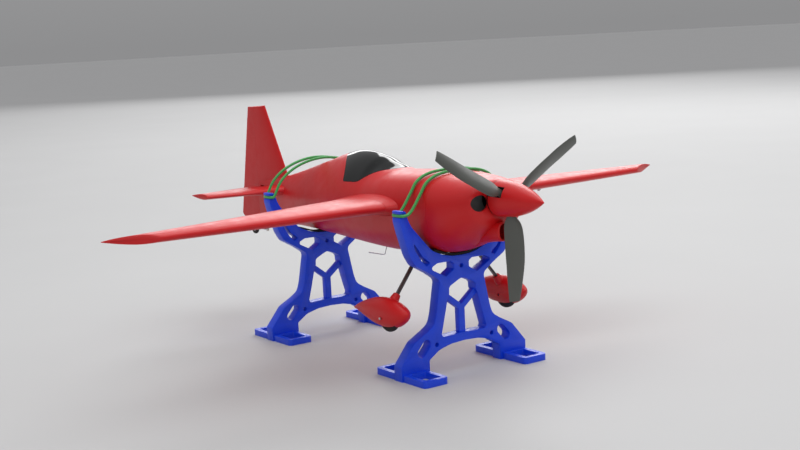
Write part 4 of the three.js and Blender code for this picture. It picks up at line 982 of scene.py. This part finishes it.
def make_gear():
    x, y, z = at = (WHEEL["x"], WHEEL["y"], WHEEL["z"])
    leg = gear_leg("leg_strut_left")
    cut(leg, rod("bore", (x, 70, z), (x, 100, z), 1.7))
    pant = pant_solid("pant_shell_left", 0, PANT[0, 0], PANT[-1, 0])
    knee = np.asarray(LEG["knee"], float)
    outward, u, v = basis_along(LEG["top"] - knee)
    join(pant, loft("collar", [hoop(knee + outward * s, r, u, v, 32) for s, r in COLLAR]))
    cut(pant, pant_solid("hollow", 1.3, 108, 211),
        block("well", (x - 21, y - 7.6, 50), (x + 21, y + 7.6, 76)),
        gear_leg("leg_room", GAP), rod("axle_hole", (x, 70, z), (x, 120, z), 1.95))
    half = WHEEL["width"] / 2
    tread = [(half * math.sin(a), WHEEL["radius"] - 4.4 * (1 - math.cos(a)) ** 1.3)
             for a in np.linspace(-1.45, 1.45, 19)]
    tyre = lathe("tyre_ring_left", [(-half + 0.7, 12.5)] + tread + [(half - 0.7, 12.5)], at, AXLE, 96)
    hub = lathe("hub_disc_left", mirror_profile(HUB_HALF), at, AXLE, 80)
    for a in turns(5):
        cx, cz = x + 7.7 * math.cos(a), z + 7.7 * math.sin(a)
        cut(hub, rod("window", (cx, y - 6, cz), (cx, y + 6, cz), 1.7, 20))
    both_pieces(leg, "airframe", "carbon", "gear_leg")
    both_pieces(pant, "airframe", "red_gloss", "wheel_pant")
    both_pieces(tyre, "wheel_{}", "tyre_rubber", "tyre")
    both_pieces(hub, "wheel_{}", "alloy", "wheel_hub")


# ---- propeller and spinner
BLADES = np.array([
    # radius, chord, thickness, shift towards the leading edge
    [6, 11, 6.8, 0], [21.5, 11.6, 5.8, 0], [27, 18, 5.1, 0.8], [35, 22.2, 4.3, 1.8], [48, 23.6, 3.6, 2.6],
    [64, 23.6, 2.9, 3], [80, 22.4, 2.4, 3], [98, 19.8, 2.0, 2], [114, 16.6, 1.7, 1], [125.7, 13.6, 1.4, 0],
])
BLADE_ANGLES = (-90, 30, 150)
STEEPEST_BLADE = math.radians(31)


def blade(name, angle):
    turn = math.radians(angle)
    rings = []
    u = (1 - np.cos(np.linspace(0, math.pi, 17))) / 2
    reaches = [(r, 0.0, 1.0) for r in stations(6, 123.2, pitch=3.2)]
    reaches += [(123.2, 2.5 * math.sin(a), math.cos(a)) for a in np.linspace(0, math.pi / 2, 7)[1:]]
    for r, out, thin in reaches:
        chord, thickness, lead = natural(BLADES, r)
        round_root = np.clip((30 - r) / 14, 0, 1)
        pitch = min(math.atan2(PROP["pitch"], 2 * math.pi * r), STEEPEST_BLADE)
        along = np.array([math.sin(pitch), 0, math.cos(pitch)])
        normal = np.array([math.cos(pitch), 0, -math.sin(pitch)])
        edge = lerp(aerofoil(u), np.sqrt(np.maximum(u * (1 - u), 0)), round_root)
        half = edge * thickness * max(thin, 0.05)
        camber = 0.045 * chord * 4 * u * (1 - u) * (1 - round_root)
        trim = 1 - 0.22 * (1 - thin)
        back = (0.5 - u) * chord * trim + lead
        b = np.concatenate([back, back[-2:0:-1]])
        h = np.concatenate([camber + half, (camber - half)[-2:0:-1]])
        dx, dy, dz = along[:, None] * b + normal[:, None] * h
        dy += r + out
        rings.append(np.stack([PROP["x"] + dx, dy * math.cos(turn) - dz * math.sin(turn),
                               PROP["z"] + dy * math.sin(turn) + dz * math.cos(turn)], 1))
    return loft(name, rings)


def make_propeller():
    x, z = PROP["x"], PROP["z"]
    profile = [(-10.7, 4.1), (-10.7, 9), (-10.2, 9.5), (11.8, 9.5), (12.3, 9), (12.3, 4.1)]
    hub = lathe("propeller_blades", profile, (x, 0, z), (1, 0, 0), 64)
    join(hub, *[blade("blade", a) for a in BLADE_ANGLES])
    cut(hub, rod("bore", (x - 40, 0, z), (x + 40, 0, z), 4.1))
    piece(hub, "propeller_unit", "propeller_grey", "propeller")
    length, radius = SPINNER["tip"] - SPINNER["base"], SPINNER["radius"]
    rho = (radius ** 2 + length ** 2) / (2 * radius)
    ogive = lambda t: math.sqrt(rho ** 2 - (t * length) ** 2) + radius - rho
    outside = [(0, radius - 0.3)] + [(max(t * length, 0.3), ogive(t)) for t in np.linspace(0, 0.985, 40)]
    outside += [(length - 0.35, 0.32), (length, 0.0)]
    inside = [(t * length, ogive(t) - SPINNER["wall"]) for t in np.linspace(0.62, 0, 20)]
    profile = outside + [(length * 0.78, 0.0)] + inside
    cone = lathe("spinner_cone", profile, (SPINNER["base"], 0, z), (1, 0, 0), 96)
    for angle in BLADE_ANGLES:
        notch = block("notch", (-30, 10, -7), (6.4, 40, 7))
        notch.data.transform(Matrix.Rotation(math.radians(angle), 4, "X"))
        cut(cone, shift(notch, x, z))
    piece(cone, "propeller_unit", "red_gloss", "spinner")


# ---- stands, pads and straps
WEB_HALF = [
    (0, 36.7), (22, 35.6), (41, 31), (57.5, 20.4), (57.5, 0), (101, 0), (101.4, 19.1), (79.2, 45.8),
    (58, 57), (47.3, 63.8), (43, 78), (35.5, 116.6), (37, 121), (50.8, 130.7), (71.3, 142.5), (79, 155),
    (88, 184), (92, 200), (92, 214), (82.4, 214), (80.5, 203), (75.9, 193.4), (59.8, 174.9), (45.4, 158.4),
    (26, 150.6), (14, 148), (0, 147.4),
]
WEB_RADII = [40, 40, 20, 3, 0, 0, 3, 14, 30, 16, 40, 6, 14, 30, 14, 60, 40, 1.2, 1.2, 14, 14, 60, 20,
             30, 30, 30, 30]
WINDOW_HALF = [
    (0, 119.4), (19, 110.5), (21.5, 107.5), (21.5, 101), (25.5, 91), (31, 70), (36.5, 50), (34, 46.4),
    (14, 46.8), (0, 47.4),
]
WINDOW_RADII = [14, 6, 6, 10, 20, 40, 3, 3, 20, 20]
HORN_SLOT = [(75.4, 176.4), (70.5, 161), (62.5, 148.4), (55.2, 140.6), (47.5, 143.6), (59.4, 152.4)]
SHOULDER_HOLE = [(50.5, 136.5), (38, 142), (17, 142), (12, 138.5), (12, 131), (25, 123)]
BOLT_HOLES = [(0, 134), (44.6, 38.3), (-44.6, 38.3)]
LEG_HOLE = dict(y=64.6, z=36.4, length=25, width=13, tilt=-48)
FOOT = dict(inner=61.7, outer=99.4, half_length=53, height=8.6, corner=6)


def both_sides(half, radii):
    points = half + [(-y, z) for y, z in half[1:-1][::-1]]
    return points, radii + radii[1:-1][::-1]


def capsule(y, z, length, width, tilt):
    run, r, tilt = (length - width) / 2, width / 2, math.radians(tilt)
    out = []
    for turned in (tilt, tilt + math.pi):
        out += [(y + run * math.cos(turned) + r * math.cos(turned + a),
                 z + run * math.sin(turned) + r * math.sin(turned + a))
                for a in np.linspace(-math.pi / 2, math.pi / 2, 13)]
    return out


def strut_outline(a, b, width):
    a, b = np.asarray(a, float), np.asarray(b, float)
    d = unit(b - a)
    n = np.array([-d[1], d[0]]) * width / 2
    return [a + n, b + n, b - n, a - n]


def stand_solid(name):
    half_web, half_strut = STAND_WEB / 2, STAND_STRUT / 2
    outline, radii = both_sides(WEB_HALF, WEB_RADII)
    web = prism(name, fillet(outline, radii), "x", -half_web, half_web)
    window, radii = both_sides(WINDOW_HALF, WINDOW_RADII)
    holes = [fillet(window, radii), fillet(HORN_SLOT, 2.5), fillet(SHOULDER_HOLE, 3), capsule(**LEG_HOLE)]
    holes += [[(-y, z) for y, z in hole] for hole in holes[1:]]
    holes += [ellipse(y, z, 3, 3) for y, z in BOLT_HOLES]
    cut(web, *[prism("hole", hole, "x", -30, 30) for hole in holes])
    groove = STRAP_GROOVE
    neck, far, wide = half_web - groove["depth"], 20, 100
    for plan in ((-far, groove["waist"], far, wide), (-far, -wide, far, -groove["waist"]),
                 (neck, -wide, far, wide), (-far, -wide, -neck, wide)):
        cut(web, prism("groove", rectangle(*plan), "z", groove["low"], groove["high"]))
    bevel(web, 0.8)
    hub = (0, 79)
    for a, width in (((0, 44), 10), ((-25, 98.5), 7.5), ((25, 98.5), 7.5)):
        join(web, bevel(prism("strut", strut_outline(a, hub, width), "x", -half_strut, half_strut), 0.6))
    f = FOOT
    rim = 7
    for side in (1, -1):
        low, high = sorted((side * f["inner"], side * f["outer"]))
        plan = rectangle(-f["half_length"], low, f["half_length"], high)
        foot = prism("foot", fillet(plan, f["corner"], 8), "z", 0, f["height"])
        for end in (1, -1):
            near, far = sorted((end * (half_web + 5), end * (f["half_length"] - rim)))
            slot = fillet(rectangle(near, low + rim, far, high - rim), 2.5)
            cut(foot, prism("slot", slot, "z", -5, 20))
        join(web, bevel(foot, 0.8))
    return web


def make_stands():
    for side, x in STANDS.items():
        stand = shift(stand_solid(f"cradle_{side}"), x=x)
        piece(stand, "airframe", "stand_blue", f"stand_{side}")
        slope = WEB_HALF[-4:]
        saddle = [(-y, z) for y, z in slope] + slope[:-1][::-1]
        lifted = [(y * 0.92, z - (1.6 if abs(y) > 30 else 0) + GAP) for y, z in saddle]
        thick = PAD_TOP[side] - slope[-1][1] - GAP
        profile = lifted + [(y, z + thick) for y, z in lifted[::-1]]
        strip = prism(f"pad_strip_{side}", profile, "x", x - 7.5, x + 7.5)
        outline, _ = both_sides(WEB_HALF, WEB_RADII)
        web = shift(prism("web", outline, "x", x - 20, x + 20), z=GAP * 0.9)
        cut(strip, body_loft("belly", stations(x - 24, x + 18, pitch=6), -GAP, 96), web)
        piece(bevel(strip, 0.3), "airframe", "pad_foam", f"saddle_pad_{side}")


STRAP_RADIUS = 1.9
STRAP_SPREAD = 10.2
GROOVE_Y, GROOVE_Z = 90.4, 208
ARC_ANGLES = (24, 40, 56, 72, 90, 108, 124, 140, 156)
REAR_ARCH = dict(half_span=82, rise=48.7, foot=208, power=1.9)


def arch(half_span, foot, rise, power):
    for angle in ARC_ANGLES:
        c, s = math.cos(math.radians(angle)), math.sin(math.radians(angle))
        yield half_span * math.copysign(abs(c) ** (2 / power), c), foot + rise * s ** (2 / power)


def front_arch(x):
    clear = STRAP_RADIUS + 0.7
    top, _, half_width, waist, upper, _ = body_at(x)
    return arch(half_width + clear, waist, top + clear - waist, upper)


STRAP_LEADS = {"front": [(86.5, 208), (79, 210)], "rear": [(86.5, 208)]}
ROUND_HORN = [(9.6, 89.2), (7, GROOVE_Y), (-7, GROOVE_Y), (-9.6, 89.2)]


def make_straps():
    for side, lead in STRAP_LEADS.items():
        x = STANDS[side]

        def strand(offset):
            over = front_arch(x + offset) if side == "front" else arch(**REAR_ARCH)
            path = lead + list(over) + [(-y, z) for y, z in lead[::-1]]
            return [(x + offset, y, z) for y, z in path]

        def round_horn(s):
            return [(x - s * dx, s * y, GROOVE_Z) for dx, y in ROUND_HORN]

        loop = strand(STRAP_SPREAD) + round_horn(-1) + strand(-STRAP_SPREAD)[::-1] + round_horn(1)
        band = tube(f"band_{side}", spline(loop, 8, closed=True), STRAP_RADIUS, 16, closed=True)
        piece(band, "airframe", "strap_green", f"strap_{side}")


# ---- carried-over CAD nodes
def make_carried():
    slots = {row["node"]: row["material_slot"] for row in frame["record"]["subparts"]}
    # The spinner backplate is dressed in dark motor_black so its ring reads as the shade in the gap behind
    # the spinner: painted shade.
    slots["spinner_backplate"] = "motor_black"
    for name, made in frame["nodes"].items():
        dress(made, slots[name])


# ---- stage and light
FLOOR_HALF = 40000


def make_stage():
    plan = rectangle(-FLOOR_HALF, -FLOOR_HALF, FLOOR_HALF, FLOOR_HALF)
    floor = new_object("floor", [(x, y, 0) for x, y in plan], [(0, 1, 2, 3)])
    look = Look("floor", (1, 1, 1))
    floor.data.materials.append(look.finish(look.tones(look.noise(3, 2), 0.53, 0.54), {
        "Roughness": 0.8, "Specular IOR Level": 0.08}))


LAMPS = [
    # name, place, aim, power in watts, width, height
    ("overhead", (0.3, 0.5, 2.6), (0, 0, 0.2), 30, 2.4, 2.4),
    ("backlight", (-1.5, 5.4, 3.3), (0.1, 0, 0.2), 70, 5.0, 2.4),
    ("glare", (-3.15, 3.5, 3.85), (0, 0, 0.25), 95, 2.4, 1.9),
    ("rim", (-6.6, 5.0, 2.6), (0, 0, 0.2), 115, 5.2, 1.6),
    ("fill", (2.8, -1.6, 1.6), (0, 0, 0.15), 16, 2.2, 2.2),
]


def make_light():
    """A soft grey surround that brightens upwards, and the lamps."""
    world = bpy.data.worlds.new("studio")
    scene.world = world
    world.use_nodes = True
    nodes, links = world.node_tree.nodes, world.node_tree.links
    place = nodes.new("ShaderNodeTexCoord")
    split = nodes.new("ShaderNodeSeparateXYZ")
    links.new(place.outputs["Generated"], split.inputs[0])
    fade = nodes.new("ShaderNodeValToRGB")
    low, high = fade.color_ramp.elements
    low.position, high.position = 0.0, 0.6
    low.color, high.color = (0.27, 0.27, 0.275, 1), (0.60, 0.60, 0.61, 1)
    links.new(split.outputs["Z"], fade.inputs["Fac"])
    links.new(fade.outputs["Color"], nodes["Background"].inputs["Color"])
    for name, at, aim, power, width, height in LAMPS:
        data = bpy.data.lights.new(name, "AREA")
        data.energy = power
        data.shape = "RECTANGLE"
        data.size, data.size_y = width, height
        lamp = bpy.data.objects.new(name, data)
        scene.collection.objects.link(lamp)
        lamp.location = at
        lamp.rotation_mode = "QUATERNION"
        lamp.rotation_quaternion = (Vector(aim) - Vector(at)).to_track_quat("-Z", "Y")


make_fuselage()
make_cowl()
make_wings()
make_tailplane()
make_rudder()
make_tail_wheel()
make_gear()
make_antenna()
make_propeller()
make_stands()
make_straps()
make_carried()
make_stage()
make_light()
